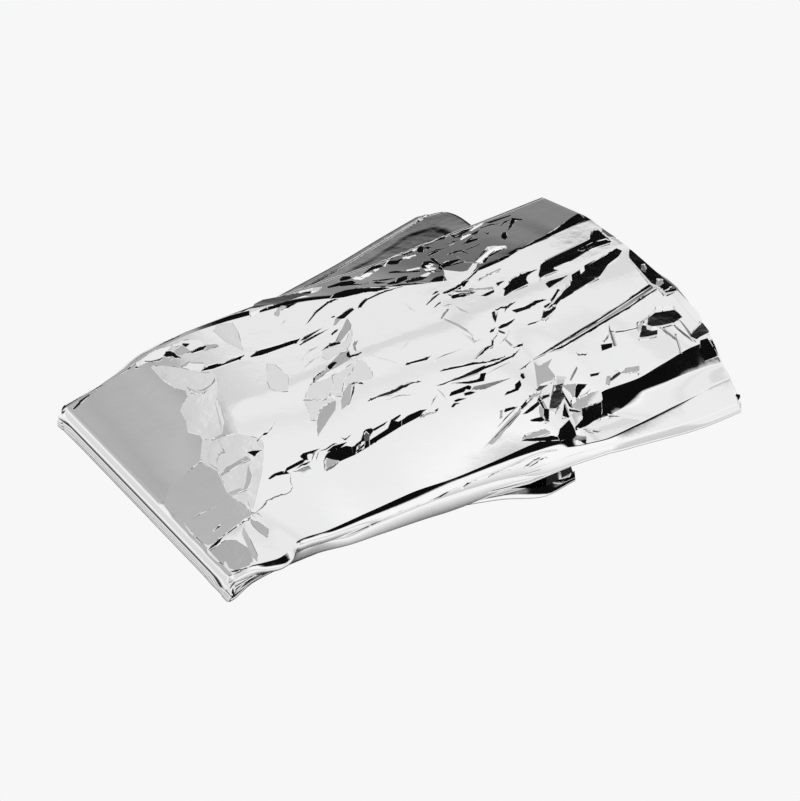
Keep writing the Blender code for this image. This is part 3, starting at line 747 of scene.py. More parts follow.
    ("k", 0, "436,385.6 445,382 455,378.3 469.4,372 480.6,366.7 487,363.3 500.6,360.6 511.7,355.6 517,351 "
     "520.6,347.8 519.4,350.3 513.9,357 505,361.3 496,365.3 485,369.2 477,373.5 467,377.3 458.3,380.2 "
     "449.4,382.2 443.9,385 437,386"),
    ("k", 0, "451.7,383.3 465,381.3 473.9,380.6 479.4,378.3 480.6,374.4 486,373.3 483.9,378.9 483.9,380.6 "
     "476,382.6 469.4,383.5 462.8,383.5"),
    ("k", 0, "449.4,395 451.7,392 461.7,387.5 468.3,385.5 471.5,386.7 470,389.5 466,389 464,391.5 "
     "458,393.5 453,394.5 450,396"),
    ("k", 0, "464,393.5 470,391.5 476,392 470,394.5 465,395.5"),
    ("m", 0, "471.7,390 473.9,387 485,384.4 493.9,382 500.6,380.6 511.7,377.8 498.3,382.8 491.7,385.6 "
     "485,388.9 475,389.4"),
    ("k", 0, "453.3,401 458.3,398.9 467,398 461.7,399.8 456,401.7"),
    ("k", 0, "451,406.7 454.4,403.3 460.6,402.8 456,404.6 452.8,407.2"),
    ("m", 0, "441,319 443,313 447,309.5 449,309 446,312.5 443.5,317"),
    # left part
    ("g", 0, "163,505 172,514 185,524 192,535 200,541 208,545 216,542 224,535 238,525 243,521 251,516 "
     "252,513 244,505 234,499 226,491 222,480 217,470 208,464 200,461 190,470 170,488"),
    ("w", 0, "135,364 150,353 162,348 172,346 166,351 163,357 150,361 142,365"),
    ("w", 0, "172,345 186,340 200,340 205,345 198,347 190,352 187,348 182,344 176,347"),
    ("w", 0, "153,367 165,366 178,367 190,362 205,362 203,367 201,371 190,370 175,368"),
    ("l", 0, "216,325 232,323 238,332 243,350 236,346 225,341 214,331"),
    ("l", 0, "163,380 152,368 162,366 180,367.5 201,372 210,371 217,377 218,386 216,398 221,409 224,420 "
     "222,433 212,440 203,440 200,434.5 188,431 186,420 181,411 183,404 188,397 186,391 175,388"),
    ("l", 0, "203,441 214,441 224,436 236,434 250,436 262,440 264,452 262,470 258,490 253,508 244,503 "
     "234,498 226,490 222,477 217,467 201,459"),
    ("g", 0, "220,477 226,468 232,464 240,459 246,456 250,459 243,462.5 236,466 228,471.5"),
    ("h", 0, "248,464 250,470 252,476 250,484 247,489 243,490 246,482 247,472"),
    ("h", 0, "229,492 240,488 244,490 238,492.5 231,495"),
    ("k", 0, "247,452.5 252,451 261,450.5 257,453 254,455.5 251,454"),
    ("m", 0, "240,459 244,458.5 247,459 243,461"),
    ("h", 1.2, "219,440 222,448 224,452 219,454 217,461 216,466"),
    ("m", 1.3, "187,387 190,390.5 196,391.5 203,390.5 207,388 212,383.5 214,380 215,376"),
    ("m", 1.6, "191,391 195,392 202,391"),
    ("h", 1, "215,400 217,408 219,418 221,424 221.5,432"),
    ("k", 0, "190,352.5 198,347 205,345.5 207,346.5 202,350.5 194,353"),
    ("g", 0, "206,345 216,344.5 219,346 210,349.5 203,351 207,347"),
    ("k", 0, "163,357.5 166,351 170,350 174,351.5 177,355.5 181,358 175,358.5 172,356 168,357.5"),
    ("g", 0, "174,350.5 181,345.5 187,348.5 190,351.5 182,355.5 178,354"),
    ("k", 0, "182,343.5 189.5,343.5 186,347.5 183.5,346"),
    ("k", 1.3, "145,361.5 150,361.5 156,361 160,359 165,357"),
    ("g", 0, "153,364.5 162,360 172,359 166,365.5"),
    ("g", 0, "178,366.5 183,364 189.5,360.5 190,362.5 185,366 180,367.5"),
    ("k", 0, "135,366 139,365.5 138.5,368 135.5,368.5"),
    ("k", 0, "201,371.5 204,368 208,365.5 217,363 222,364 230,360.5 240,355.5 244.5,355 240,359.5 225,365 "
     "213,369.5"),
    ("k", 0, "250,356.5 253,353.5 258,350 268,347.5 280,344 290,340.5 300,338 297,343 290,346 283,348.5 "
     "272,352.5 262,355.5 252,357.5"),
    ("k", 1.3, "257,441 260,438 263,435"),
    ("k", 2, "262.5,434.8 265,434 268.5,432.3"),
    ("m", 1, "268,432 272,427 275,422.5"),
    ("l", 0, "267,364 275,365 283,371.5 288,377 288,391.5 278,392 270,388 267,381"),
    ("h", 0, "275,312 278,308 283,306 286,308 280,311 278,316.5 275,315"),
    ("h", 1.2, "281,325 284,322 286,320.5"),
    ("m", 1, "192,519.5 197,516 201,513.5 207,511 216,507"),
    ("k", 0, "209,548.5 214,543 219,538.5 223.5,536.5 221,540.5 217,544.5 212,549 209.5,550"),
    ("k", 1, "223,537 228,532.5 233,529 238,525.5 241,524"),
    ("k", 0, "241,522.5 245,519.5 250.5,517.5 248.5,520.5 244,523 241.5,523.8"),
    ("m", 0, "213,531 217,527 220,525 221,527 217,529.5 213.5,532"),
    ("k", 1.7, "219.5,564.5 221.5,560 223.8,555"),
    ("g", 0, "208,551 216,545.5 226,540 236,540.5 243,545 250,550 253,562 248,568.5 240,571.5 230,568 "
     "225,560 219,572 216,571"),
    ("h", 0, "243,527 247,533 253,545 258,556 257,561 252,556 246,543 242,534"),
    ("g", 0, "250,519 258,522 268,529 268,538 260,532.5 253,526"),
    ("m", 0.9, "254,514 258,510.5 263,507 267,501 272,498.5 280,495 285,494 290,491.5 293,487"),
    ("m", 0.9, "290,473 290.5,482 293,487"),
    ("h", 1, "256,518 252,514.5 250,506 247,499"),
    ("h", 1, "243,507 248,511 252,514"),
    ("h", 1, "251,513 257,513 262,516.5"),
    ("k", 0, "268,478.5 274,474 281,471.5 287,471.5 289,473.5 282,474.5 276,475.5 270,479"),
    ("k", 3, "284,472 288,469 293,466 297,464,2 302,461.5 306,459.5"),
    ("k", 0, "300,456.5 303,453.5 310,451.5 319,449 313,453.5 307,454 308,460 304,459.5"),
    ("m", 0, "293,471.5 302,468 309,465 311,469 304,472"),
    ("k", 1.2, "296,468.5 302,465 306,464 311,461.5"),
    ("k", 1.1, "312,461 313,455 316,451"),
    ("k", 1.1, "316,461 317,456 319,452"),
    ("k", 0, "327,451.5 333,446.5 341,444 347,442 340,448 333,451"),
    ("k", 0, "71.5,409.5 75,405 80,400.5 87,396 94,390.5 90,395 82,402 77,406.5 73,410"),
    ("k", 1, "79,398 88,393 97,388 107,383"),
    ("k", 1, "110,381 122,373 134,365 145,357 156,350"),
    ("k", 1.2, "160,345 170,340 180,336"),
    # the left end's front corner
    ("k", 1.2, "228,574 236,571 244,568.5 251,565.5"),
    # along the deep crease left of the middle
    ("k", 0, "324,462 325,457 328,453 334,450.5 341,448 346,446.8 352,447.5 354,448 354,455 350,457 "
     "344,460 340,461 333,459.5 326,457.5"),
    ("k", 0, "352,447.5 357,444.5 361,440.5 362,437 363.5,433 366,431 372,429.5 374,431 370,436.5 369,440 "
     "374,439.5 378,437 376,442 370,445.5 364,449.5 360,452 354,455"),
    ("k", 0, "369.5,440.5 374,437 380,433 388,428.5 390,425.5 391.5,420 394,421.5 398,422 402,420 406,418 "
     "404,424 398,428 390,433 380,439 374,442.5 370,445"),
    ("k", 0, "402,420.5 408,416 414,413.5 420,410.5 427,409.5 423,412 420,416 415,418 409,421 402,425.5"),
    ("g", 0, "420,416.5 424,413 433,412 436,412 428,415.5 421,418"),
    ("k", 0, "435,410.5 438.5,408 437.5,410.5 435.5,411.5"),
    ("k", 0, "372,430 378,426.5 384,423.5 388,421 384,425 378,428.5 374,431"),
    ("k", 0, "391.5,420 395,417.5 400,414.8 401,415.5 396,419 393,422"),
    ("d", 0, "363.5,436 366,433 370,436 369,440 365,441"),
    ("d", 0, "356,452.5 357,447 361,443 365,441.5 364,447 359,450.5"),
    ("g", 0, "326.5,458.5 333,460 338.5,461.5 333,465.5 327,468 326,464"),
    ("k", 1.6, "323.5,459 324.5,465 325,471"),
    ("m", 0, "325.5,470 333,465.5 338.5,462 340,461.5 334,467 327,471"),
    ("k", 1, "319,451 326,449 330,446 334,444 338,443.5"),
    ("k", 1.3, "341,438 345,439.5 348,437 352,434.5"),
    # front of the right half, further bits
    ("k", 0, "544,409 549,410 549,418 547,420 543.5,415"),
    ("k", 0.9, "482,449 491,440.5 500,432 512,420 521,411"),
    ("k", 0.9, "497,428 506,418 519,405"),
    # fine creases, most of them on the dark back slope
    ("e", 0, "250,313.5 256,308 264,304 275,300 288,295.5 300,291.5 312,288 322,287 318,291 308,294 "
     "296,298 282,302.5 268,306.5 258,311"),
    ("k", 1.3, "428,253.5 436,250 447,248"),
    ("k", 1.4, "447,255 455,252 462,251 468,254"),
    ("k", 0, "440,266 446,262 455,260 462,258 458,261 450,265 443,268"),
    ("k", 1.2, "447,266.5 456,263.5 468,261"),
    ("k", 0, "404,281.5 412,279 420,277 428,277 422,280 412,282"),
    ("k", 1.4, "386,287 400,285 415,284 430,282.5"),
    ("k", 1.2, "446,245 452,242 458,240"),
    ("w", 0.9, "449,246 455,243"),
    ("k", 1.5, "455,236.5 462,233 470,229.5"),
    ("k", 1.1, "372,281 384,280 396,278"),
    ("m", 1, "352,288.5 364,284.5 378,281"),
    ("k", 1.1, "340,286 352,284.5 362,284"),
    ("k", 1.2, "466,250 474,246.5 480,244"),
    ("k", 1.1, "480,228 490,225 500,223.5"),
    ("k", 1.2, "425,272 434,270.5 441,272"),
    ("k", 1.2, "462,245 468,240 476,235"),
    ("m", 1, "456,256 466,262 474,263"),
    ("k", 1.2, "500,226 505,222 510,219.5"),
    ("k", 0, "700,341 707,339 712,345 716,352 717,356 705,361 700,352"),
    ("k", 0, "639,339 644,320.5 658,321 657,336 648,338"),
    ("k", 0, "647,326 649,316 656,307 674,306 682,318 674,324 662,327 652,328"),
    ("k", 0, "690,336 694,330 701,319 708,323 711,331 700,338 696,341"),
    # faint creases of the pale middle
    ("h", 1.2, "444,319 456,324 466,330 474,336"),
    ("h", 1.6, "471,334 474,342 480,340"),
    ("l", 1.1, "405,303 410,308 416,312"),
    ("m", 1.2, "431,405 434,400 437,396"),
    ("h", 1.1, "436,388 442,394 447,400"),
    ("l", 1.2, "372,356 385,359 398,363"),
    ("h", 1.1, "455,306 462,310 470,313"),
    ("l", 1.4, "476,345 470,338 462,333"),
    ("h", 1, "500,343 506,338 510,330"),
    ("l", 1.2, "385,400 400,396 415,394"),
]


def pixels(text):
    """The points of a row of CREASES or FACETS."""
    return [tuple(float(number) for number in point.split(",")) for point in text.split()]


def tenths(values):
    """The values, rounded to tenths of a millimetre."""
    return tuple(round(float(value), 1) for value in values)


def band(points, width):
    """The outline of a band along a line of pixels. An end without a width of its own is narrow."""
    line = np.array([point[:2] for point in points])
    widths = np.array([point[2] if len(point) > 2 else width for point in points], float)
    for end in (0, -1):
        if len(points[end]) < 3:
            widths[end] = BAND_TIP
    ahead = unit(np.gradient(line, axis=0))
    aside = np.stack([-ahead[:, 1], ahead[:, 0]], axis=-1) * widths[:, None] / 2
    return [*(line + aside), *(line - aside)[::-1]]


class Photo:
    """The photo's view of the top ply, which tells where on the film a pixel lies."""

    def __init__(self):
        self.back, self.right = view_axes()
        self.up = np.cross(self.back, self.right)
        self.eye = np.array(VIEW_TARGET) + ORIGIN + self.back * VIEW_DISTANCE
        x, v = top_grid()
        self.points = (top_surface(x, v) + FACE_OUT * top_normals(x, v)).reshape(-1, 3)
        self.places = np.stack([x.ravel(), flat_place(x.ravel(), v.ravel())], axis=-1)
        number = np.arange(x.size).reshape(x.shape)
        quads = np.stack([number[:-1, :-1], number[1:, :-1], number[1:, 1:], number[:-1, 1:]], axis=-1)
        quads = quads.reshape(-1, 4)
        self.triangles = np.concatenate([quads[:, [0, 1, 2]], quads[:, [0, 2, 3]]])
        self.tree = BVHTree.FromPolygons([Vector(p) for p in self.points], self.triangles.tolist())

    def sight(self, pixel):
        """The direction from the camera through a pixel."""
        across, down = ((p - middle) / PHOTO_FOCUS for p, middle in zip(pixel, PHOTO_MIDDLE))
        direction = across * self.right - down * self.up - self.back
        return direction / np.linalg.norm(direction)

    def place(self, pixel):
        """(x, place across) of the film at a pixel, or None beside it."""
        location, _, k, _ = self.tree.ray_cast(Vector(self.eye), Vector(self.sight(pixel)))
        if location is None:
            return None
        corners = self.triangles[k]
        sides = self.points[corners[1:]] - self.points[corners[0]]
        shares = np.linalg.solve(sides @ sides.T, sides @ (np.array(location) - self.points[corners[0]]))
        return np.array([1 - shares.sum(), *shares]) @ self.places[corners]

    def near_place(self, pixel):
        """As place, or the nearest place to a pixel beside the film."""
        for reach in np.arange(0, *SEARCH):
            for angle in np.linspace(0, math.tau, SEARCH_TURNS, endpoint=False):
                found = self.place((pixel[0] + reach * math.cos(angle), pixel[1] + reach * math.sin(angle)))
                if found is not None:
                    return found

    def corner(self, pixel):
        """As near_place, in tenths. A corner beside the film's right end lies beyond that end."""
        place = self.near_place(pixel)
        if self.place(pixel) is None and place[0] > top_end(column_place(place[:1], place[1:]))[0] - NEAR_END:
            place[0] += BEYOND_END
        return tenths(place)

    def path(self, points):
        """(x, place across, width of the face on the left) along a line of pixels with widths."""
        line, widths = np.array(points)[:, :2], np.array(points)[:, 2:]
        ahead = unit(np.gradient(line, axis=0))
        aside = line + widths * np.stack([ahead[:, 1], -ahead[:, 0]], axis=-1)
        ridge, foot = (np.array([self.near_place(pixel) for pixel in row]) for row in (line, aside))
        ahead = unit(np.gradient(ridge, axis=0))
        reach = ((foot - ridge) * np.stack([-ahead[:, 1], ahead[:, 0]], axis=-1)).sum(axis=1)
        return [tenths((*place, max(0, width))) for place, width in zip(ridge, reach)]


def sky_grey(pitch, side):
    """The studio's grey at so many degrees of pitch and to the right, as make_world has it."""

    def over_pitch(stops):
        return np.interp(pitch, *zip(*stops))

    def left_of(degrees, soft):
        return np.clip((degrees - side) / soft, 0, 1)

    grey = over_pitch(MIDDLE_SKY)
    grey = grey + (over_pitch(NEAR_LEFT_SKY) - grey) * left_of(*NEAR_LEFT_FROM)
    grey = grey + (over_pitch(LEFT_SKY) - grey) * left_of(*LEFT_FROM)
    grey = grey + (FAR_LEFT_GREY - grey) * left_of(*FAR_LEFT_FROM)
    grey = grey + (LOW_LEFT_GREY - grey) * left_of(*LOW_LEFT_FROM)
    return grey + (over_pitch(FAR_RIGHT_SKY) - grey) * (1 - left_of(*FAR_RIGHT_FROM))


TILTS_BACK, TILTS_LEFT = np.meshgrid(np.arange(-56, 57, 0.5), np.arange(-50, 51, 0.5), indexing="ij")


def tilt_for(tone, sight, places):
    """(fall to the back, fall to the left) in degrees with which a flat facet over these places mirrors the
    tone along the line of sight, and lies as near to the film as it can."""
    falls = [np.tan(np.radians(tilts)) for tilts in (TILTS_LEFT, TILTS_BACK)]
    normals = unit(np.stack([-falls[0], falls[1], np.ones_like(falls[0])], axis=-1))
    facing = normals @ sight
    mirrored = sight - 2 * facing[..., None] * normals
    back, right = view_axes()
    ahead = np.array([-right[1], right[0], 0])
    pitch = np.degrees(np.arctan2(mirrored[..., 2], mirrored @ ahead))
    side = np.degrees(np.arcsin(np.clip(mirrored @ right, -1, 1)))
    grey = np.where(mirrored[..., 2] < 0, CONTACT_SHADE[1][1], sky_grey(np.clip(pitch, 0, 180), side))
    aim, slack = TONES[tone]
    off = np.abs(grey - aim)
    most_off = off
    for step, axis in ((1, 0), (-1, 0), (1, 1), (-1, 1)):
        most_off = np.maximum(most_off, np.roll(off, step, axis))

    middle = places.mean(axis=0)
    spots = np.concatenate([places, (places + middle) / 2, (places + np.roll(places, 1, axis=0)) / 2])
    heights = top_surface(spots[:, 0], column_place(spots[:, 0], spots[:, 1]))[:, 2]
    plane = np.linalg.lstsq(np.column_stack([spots, np.ones(len(spots))]), heights, rcond=None)[0]
    spread_x, both, _, spread_y = np.cov(spots.T).ravel()
    x, y = falls[0] - plane[0], -falls[1] - plane[1]
    apart = np.sqrt(x * x * spread_x + 2 * x * y * both + y * y * spread_y)
    seen = -facing > LEAST_FACING
    allowed, cost = seen & (most_off < slack), apart
    if not allowed.any():
        allowed, cost = seen & (off < 1.5 * slack), apart + 2 * most_off
    best = np.argmin(np.where(allowed, cost, np.inf))
    return TILTS_BACK.flat[best], TILTS_LEFT.flat[best]


def off_line(point, start, end):
    """Distance of a point from the straight line between two others."""
    along, run = np.subtract(point, start), np.subtract(end, start)
    return np.linalg.norm(along - np.clip(along @ run / max(run @ run, TINY), 0, 1) * run)


def simplified(corners):
    """The corners without those that hardly change the outline, which go one at a time, the least first."""
    corners, lost = list(corners), {}
    while len(corners) > 3:
        choices = []
        for i, corner in enumerate(corners):
            before, after = corners[i - 1], corners[(i + 1) % len(corners)]
            gone = [corner] + lost.get((before, corner), []) + lost.get((corner, after), [])
            choices.append((max(off_line(point, before, after) for point in gone), i, gone))
        off, i, gone = min(choices, key=lambda choice: choice[0])
        if off > CORNER_LEAST:
            break
        lost[corners[i - 1], corners[(i + 1) % len(corners)]] = gone
        del corners[i]
    return np.array(corners)


class Crease:
    """One crease: a ridge, the face that falls from it to the left, and the near side that rises to it."""

    def __init__(self, photo, tilt, near, points):
        path = np.array(photo.path(pixels(points)))
        runs = np.linalg.norm(np.diff(path[:, :2], axis=0), axis=1)
        starts = np.concatenate([[0], np.cumsum(runs)])
        count = max(2, int(starts[-1] / LINE_STEP) + 1)
        at = np.unique(np.concatenate([np.linspace(0, starts[-1], count), starts]))
        x, y, width = (np.interp(at, starts, path[:, k]) for k in range(3))
        self.at = at
        self.ridge = np.stack([x, y], axis=-1)
        ahead = unit(np.gradient(self.ridge, axis=0) + TINY)
        left = np.stack([-ahead[:, 1], ahead[:, 0]], axis=-1)
        self.width = np.maximum(width, THINNEST)
        foot = self.ridge + self.width[:, None] * left
        ends = [top_surface(p[:, 0], column_place(p[:, 0], p[:, 1]))[:, 2] for p in (self.ridge, foot)]
        self.height = self.width * math.tan(math.radians(tilt)) + ends[1] - ends[0]
        self.near = np.maximum(np.abs(self.height) / math.tan(math.radians(near)), THINNEST)
        self.lines = (self.ridge, foot, self.ridge - self.near[:, None] * left)
        every = np.concatenate(self.lines)
        self.low, self.high = every.min(axis=0) - BORDER, every.max(axis=0) + BORDER

    def add_to(self, total, place, _):
        """Adds the crease's relief at the places (x, place across) to the total."""
        inside = np.all((place > self.low) & (place < self.high), axis=-1)
        if not inside.any():
            return
        p = place[inside]
        best, off, along = np.full(len(p), np.inf), np.zeros(len(p)), np.zeros(len(p))
        for k in range(len(self.ridge) - 1):
            a, b = self.ridge[k], self.ridge[k + 1]
            run = np.linalg.norm(b - a)
            u = (b - a) / run
            d = p - a
            t = np.clip(d @ u, 0, run)
            rest = d - t[:, None] * u
            distance = np.hypot(rest[:, 0], rest[:, 1])
            side = np.where(u[0] * rest[:, 1] - u[1] * rest[:, 0] < 0, -1.0, 1.0)
            nearer = distance < best
            best = np.where(nearer, distance, best)
            off = np.where(nearer, side * distance, off)
            along = np.where(nearer, self.at[k] + t, along)
        height, width, near = (np.interp(along, self.at, a) for a in (self.height, self.width, self.near))
        total[inside] += height * np.clip(1 - np.where(off > 0, off / width, -off / near), 0, 1)


def grown(corners, by):
    """The corners, in counterclockwise order, of a polygon moved outwards by a distance."""
    ahead = unit(np.roll(corners, -1, axis=0) - corners)
    out = np.stack([ahead[:, 1], -ahead[:, 0]], axis=-1)
    between = unit(out + np.roll(out, 1, axis=0) + TINY)
    return corners + by * between / np.maximum((between * out).sum(axis=1, keepdims=True), MITRE_LEAST)


def loop(corners):
    """Points round the polygon, LINE_STEP apart at most, with the first again at the end."""
    points = []
    for a, b in zip(corners, np.roll(corners, -1, axis=0)):
        steps = max(1, math.ceil(np.linalg.norm(b - a) / LINE_STEP))
        points += [a + (b - a) * k / steps for k in range(steps)]
    return np.array(points + points[:1])


def within(place, corners):
    """Which of the places lie inside the polygon."""
    x, y = place[:, 0], place[:, 1]
    odd = np.zeros(len(place), bool)
    for (ax, ay), (bx, by) in zip(corners, np.roll(corners, -1, axis=0)):
        if ay != by:
            odd ^= ((y < ay) != (y < by)) & (x < ax + (y - ay) * (bx - ax) / (by - ay))
    return odd


class Facet:
    """One flat facet between creases, with a steep narrow wall round it."""

    def __init__(self, photo, tone, width, points):
        points = band(pixels(points), width) if width else pixels(points)
        corners = [photo.corner(pixel) for pixel in points]
        corners = [corner for k, corner in enumerate(corners) if k == 0 or corner != corners[k - 1]]
        tilts = tilt_for(tone, photo.sight(np.mean(points, axis=0)), np.array(corners))
        fall_back, fall_left = (math.tan(math.radians(tilt)) for tilt in tilts)
        corners = simplified(corners)
        after = np.roll(corners, -1, axis=0)
        if (corners[:, 0] * after[:, 1] - after[:, 0] * corners[:, 1]).sum() < 0:
            corners = corners[::-1]
        self.limit = grown(corners, WALL / 2)
        self.lines = (loop(corners), loop(grown(corners, WALL)))
        edge = self.lines[0]
        z = top_surface(edge[:, 0], column_place(edge[:, 0], edge[:, 1]))[:, 2]
        self.slope = np.array([fall_left, -fall_back])
        self.height = (z - edge @ self.slope).mean()

    def add_to(self, total, place, base):
        """Sets the relief inside the facet to what makes it flat, over a base of these heights."""
        inside = within(place, self.limit)
        total[inside] = place[inside] @ self.slope + self.height - base[inside]


def plane_of(x, v):
    """Place of (x, v) in the flat rectangle that is cut into triangles."""
    length = top_end(v.ravel()).reshape(v.shape) - BEND_X
    return np.stack([PLANE[0] * (x - BEND_X) / length, PLANE[1] * v], axis=-1)


def triangulate(creases):
    """Triangles of the top ply, cut along its creases: (x, v) of each new point, faces, each point's lattice
    place or -1, and its sharp edges."""
    x, v = top_grid()
    rows, columns = x.shape
    lattice = plane_of(x, v)
    number = np.arange(rows * columns).reshape(rows, columns)
    points, edges = [], []
    count = 0
    for crease in creases:
        for line in crease.lines:
            flat = plane_of(line[:, 0], column_place(line[:, 0], line[:, 1]))
            points.append(np.clip(flat, PLANE_LOW, PLANE_HIGH))
            edges.append(count + np.stack([np.arange(len(flat) - 1), np.arange(1, len(flat))], axis=-1))
            count += len(flat)
    crease_points = np.concatenate(points)
    tree = kdtree.KDTree(len(crease_points))
    for i, p in enumerate(crease_points):
        tree.insert((p[0], p[1], 0), i)
    tree.balance()
    keep = np.ones((rows, columns), bool)
    for i in range(1, rows - 1):
        for j in range(1, columns - 1):
            if j not in KEPT_COLUMNS and tree.find((*lattice[i, j], 0))[2] < CLEAR_OF_LINES:
                keep[i, j] = False
    kept = number[keep]
    slot = np.full(rows * columns, -1)
    slot[kept] = np.arange(len(kept))
    lines = [np.stack([slot[number[:-1, j]], slot[number[1:, j]]], axis=-1) for j in KEPT_COLUMNS]
    lines += [len(kept) + e for e in edges]
    plane = np.concatenate([lattice.reshape(-1, 2)[kept], crease_points])
    out = delaunay_2d_cdt([Vector(p) for p in plane], np.concatenate(lines).tolist(), [], 0, MERGE)
    found = np.array([tuple(p) for p in out[0]])
    home = np.array([next((kept[k] for k in source if k < len(kept)), -1) for source in out[3]])
    faces = np.array([face for face in out[2] if len(face) == 3])
    sharp = np.array([edge for edge, source in zip(out[1], out[4]) if source])
    v = found[:, 1] / PLANE[1]
    x = BEND_X + found[:, 0] / PLANE[0] * (top_end(v) - BEND_X)
    return x, v, faces, home, sharp


def build_film():
    rows, names = blanket_rows()
    on_top = names == "top"
    first_top, top_count = int(np.argmax(on_top)), int(on_top.sum())
    photo = Photo()
    creases = [Crease(photo, *row) for row in CREASES] + [Facet(photo, *row) for row in FACETS]
    x, v, top_faces, home, sharp = triangulate(creases)
    normals = top_normals(x, v)
    place = np.stack([x, flat_place(x, v)], axis=-1)
    base = top_surface(x, v)
    relief = np.zeros(len(x))
    for crease in creases:
        crease.add_to(relief, place, base[:, 2])
    top_points = base + (FACE_OUT + relief[:, None]) * normals

    grid = rows + FACE_OUT * normals_of(rows)
    flat_top = grid[on_top].reshape(-1, 3)
    flat_top[home[home >= 0]] = top_points[home >= 0]
    grid[on_top] = flat_top.reshape(top_count, -1, 3)
    fold = names == "right_fold"
    rise = np.interp(np.arange(fold.sum()), (0, fold.sum() - 1), (1, 0))[:, None, None]
    last = first_top + top_count - 1
    grid[fold] += rise * (grid[last] - rows[last] - FACE_OUT * normals_of(rows)[last])[None]
    grid = with_hems(grid, normals_of(grid))

    count, width = grid.shape[:2]
    hem = (width - len(COLUMNS)) // 2
    i, j = np.meshgrid(np.arange(count - 1), np.arange(width - 1), indexing="ij")
    inside = (i >= first_top) & (i < last) & (j >= hem) & (j < width - hem - 1)
    first = (i * width + j)[~inside]
    quads = np.stack([first, first + width, first + width + 1, first + 1], axis=1)
    number = np.where(
        home >= 0, (home // len(COLUMNS) + first_top) * width + home % len(COLUMNS) + hem,
        count * width + np.cumsum(home < 0) - 1,
    )
    points = np.concatenate([grid.reshape(-1, 3), top_points[home < 0]])
    faces = quads.tolist() + number[top_faces].tolist()
    used = np.zeros(len(points), bool)
    used[quads.ravel()] = True
    used[number[top_faces].ravel()] = True
    renumber = np.cumsum(used) - 1
    mesh = bpy.data.meshes.new("foil_film")
    faces = [[int(renumber[k]) for k in face] for face in faces]
    mesh.from_pydata(((points[used] - ORIGIN) * MM).tolist(), [], faces)
    mesh.shade_smooth()
    ends = np.empty(2 * len(mesh.edges), np.int32)
    mesh.edges.foreach_get("vertices", ends)
    size = len(mesh.vertices)

    def keys(pairs):
        return pairs.min(axis=1).astype(np.int64) * size + pairs.max(axis=1)

    end = renumber[last * width + hem + np.arange(len(COLUMNS))]
    is_sharp = np.isin(keys(ends.reshape(-1, 2)), np.concatenate([
        keys(renumber[number[sharp]]), keys(np.stack([end[:-1], end[1:]], axis=-1))
    ]))
    mesh.attributes.new("sharp_edge", "BOOLEAN", "EDGE").data.foreach_set("value", is_sharp)
    # Painted shade: the left end's rows between its plies get a darkness that the foil's colour takes up.
    dark = np.zeros(len(points))
    bend_rows = np.flatnonzero(names == "left_bend")
    for row, (_, _, shade) in zip(bend_rows, LEFT_END):
        dark[row * width : (row + 1) * width] = shade
    mesh.attributes.new("painted_slit_shade", "FLOAT", "POINT").data.foreach_set("value", dark[used])
    film = bpy.data.objects.new("foil_film", mesh)
    bpy.context.scene.collection.objects.link(film)
    return film


class Tree:
    """A node tree, with a short way to add each kind of node that it needs."""

    def __init__(self, owner):
        owner.use_nodes = True
        self.nodes, self.links = owner.node_tree.nodes, owner.node_tree.links

    def fill(self, node, values):
        """Gives inputs their numbers, colours or other nodes' outputs. A number on a colour is a grey."""
        for name, value in values.items():
            socket = node.inputs[name]
            if isinstance(value, bpy.types.NodeSocket):
                self.links.new(value, socket)
            elif socket.type == "RGBA" and isinstance(value, float):
                socket.default_value = (value, value, value, 1.0)
            else:
                socket.default_value = value

    def add(self, kind, values=None, **settings):
        node = self.nodes.new("ShaderNode" + kind)
        for name, setting in settings.items():
            setattr(node, name, setting)
        self.fill(node, values or {})
        return node

    def math(self, operation, *values, clamp=False):
        node = self.add("Math", dict(enumerate(values)), operation=operation, use_clamp=clamp)
        return node.outputs["Value"]

    def mix(self, factor, first, second):
        return self.add("Mix", {"Factor": factor, 6: first, 7: second}, data_type="RGBA").outputs[2]

    def ramp(self, factor, stops, most=1.0):
        """Greys between stops, which are pairs of a place from 0 to most and a grey."""
        node = self.add("ValToRGB", {"Fac": factor})
        elements = node.color_ramp.elements
        while len(elements) < len(stops):
            elements.new(0.5)
        for element, (place, grey) in zip(elements, stops):
            element.position = place / most
            element.color = (grey, grey, grey, 1.0)
        return node.outputs["Color"]

    def for_camera(self, seen, otherwise):
        """One colour for what the camera sees itself, and another for what the film mirrors."""
        return self.mix(self.add("LightPath").outputs["Is Camera Ray"], otherwise, seen)


# The second colour is painted shade, which darkens the film in the gaps between the left end's plies.
FILM_COLOUR, PAINTED_SHADE_COLOUR = (0.93, 0.93, 0.935, 1.0), (0.01, 0.01, 0.01, 1.0)


def foil_material():
    material = bpy.data.materials.new("foil")
    tree = Tree(material)
    painted_slit_shade = tree.add("Attribute", attribute_name="painted_slit_shade").outputs["Fac"]
    where = tree.add("TexCoord").outputs["Object"]
    waves = tree.add("TexNoise", {"Vector": where, "Scale": 90.0, "Detail": 4.0}).outputs["Fac"]
    bump = tree.add("Bump", {"Height": waves, "Strength": 0.25, "Distance": 0.0003}).outputs["Normal"]
    # Painted shade: the film's colour goes nearly black where the gaps between the left end's plies are
    # marked.
    colour = tree.mix(painted_slit_shade, FILM_COLOUR, PAINTED_SHADE_COLOUR)
    shader = tree.nodes["Principled BSDF"]
    tree.fill(shader, {"Base Color": colour, "Metallic": 1.0, "Roughness": 0.05, "Normal": bump})
    return material


VIEW_AZIMUTH, VIEW_ELEVATION = math.radians(-33.5), math.radians(36.5)
VIEW_TARGET, VIEW_DISTANCE = (3.6, -8.94, 0.0), 1391.7
VIEW_LENS, VIEW_END = 146.4, 20.0
PHOTO_MIDDLE = (400, 400.5)  # of the photo's 800 x 801 pixels
PHOTO_FOCUS = PHOTO_MIDDLE[0] / math.tan(math.radians(7.0))


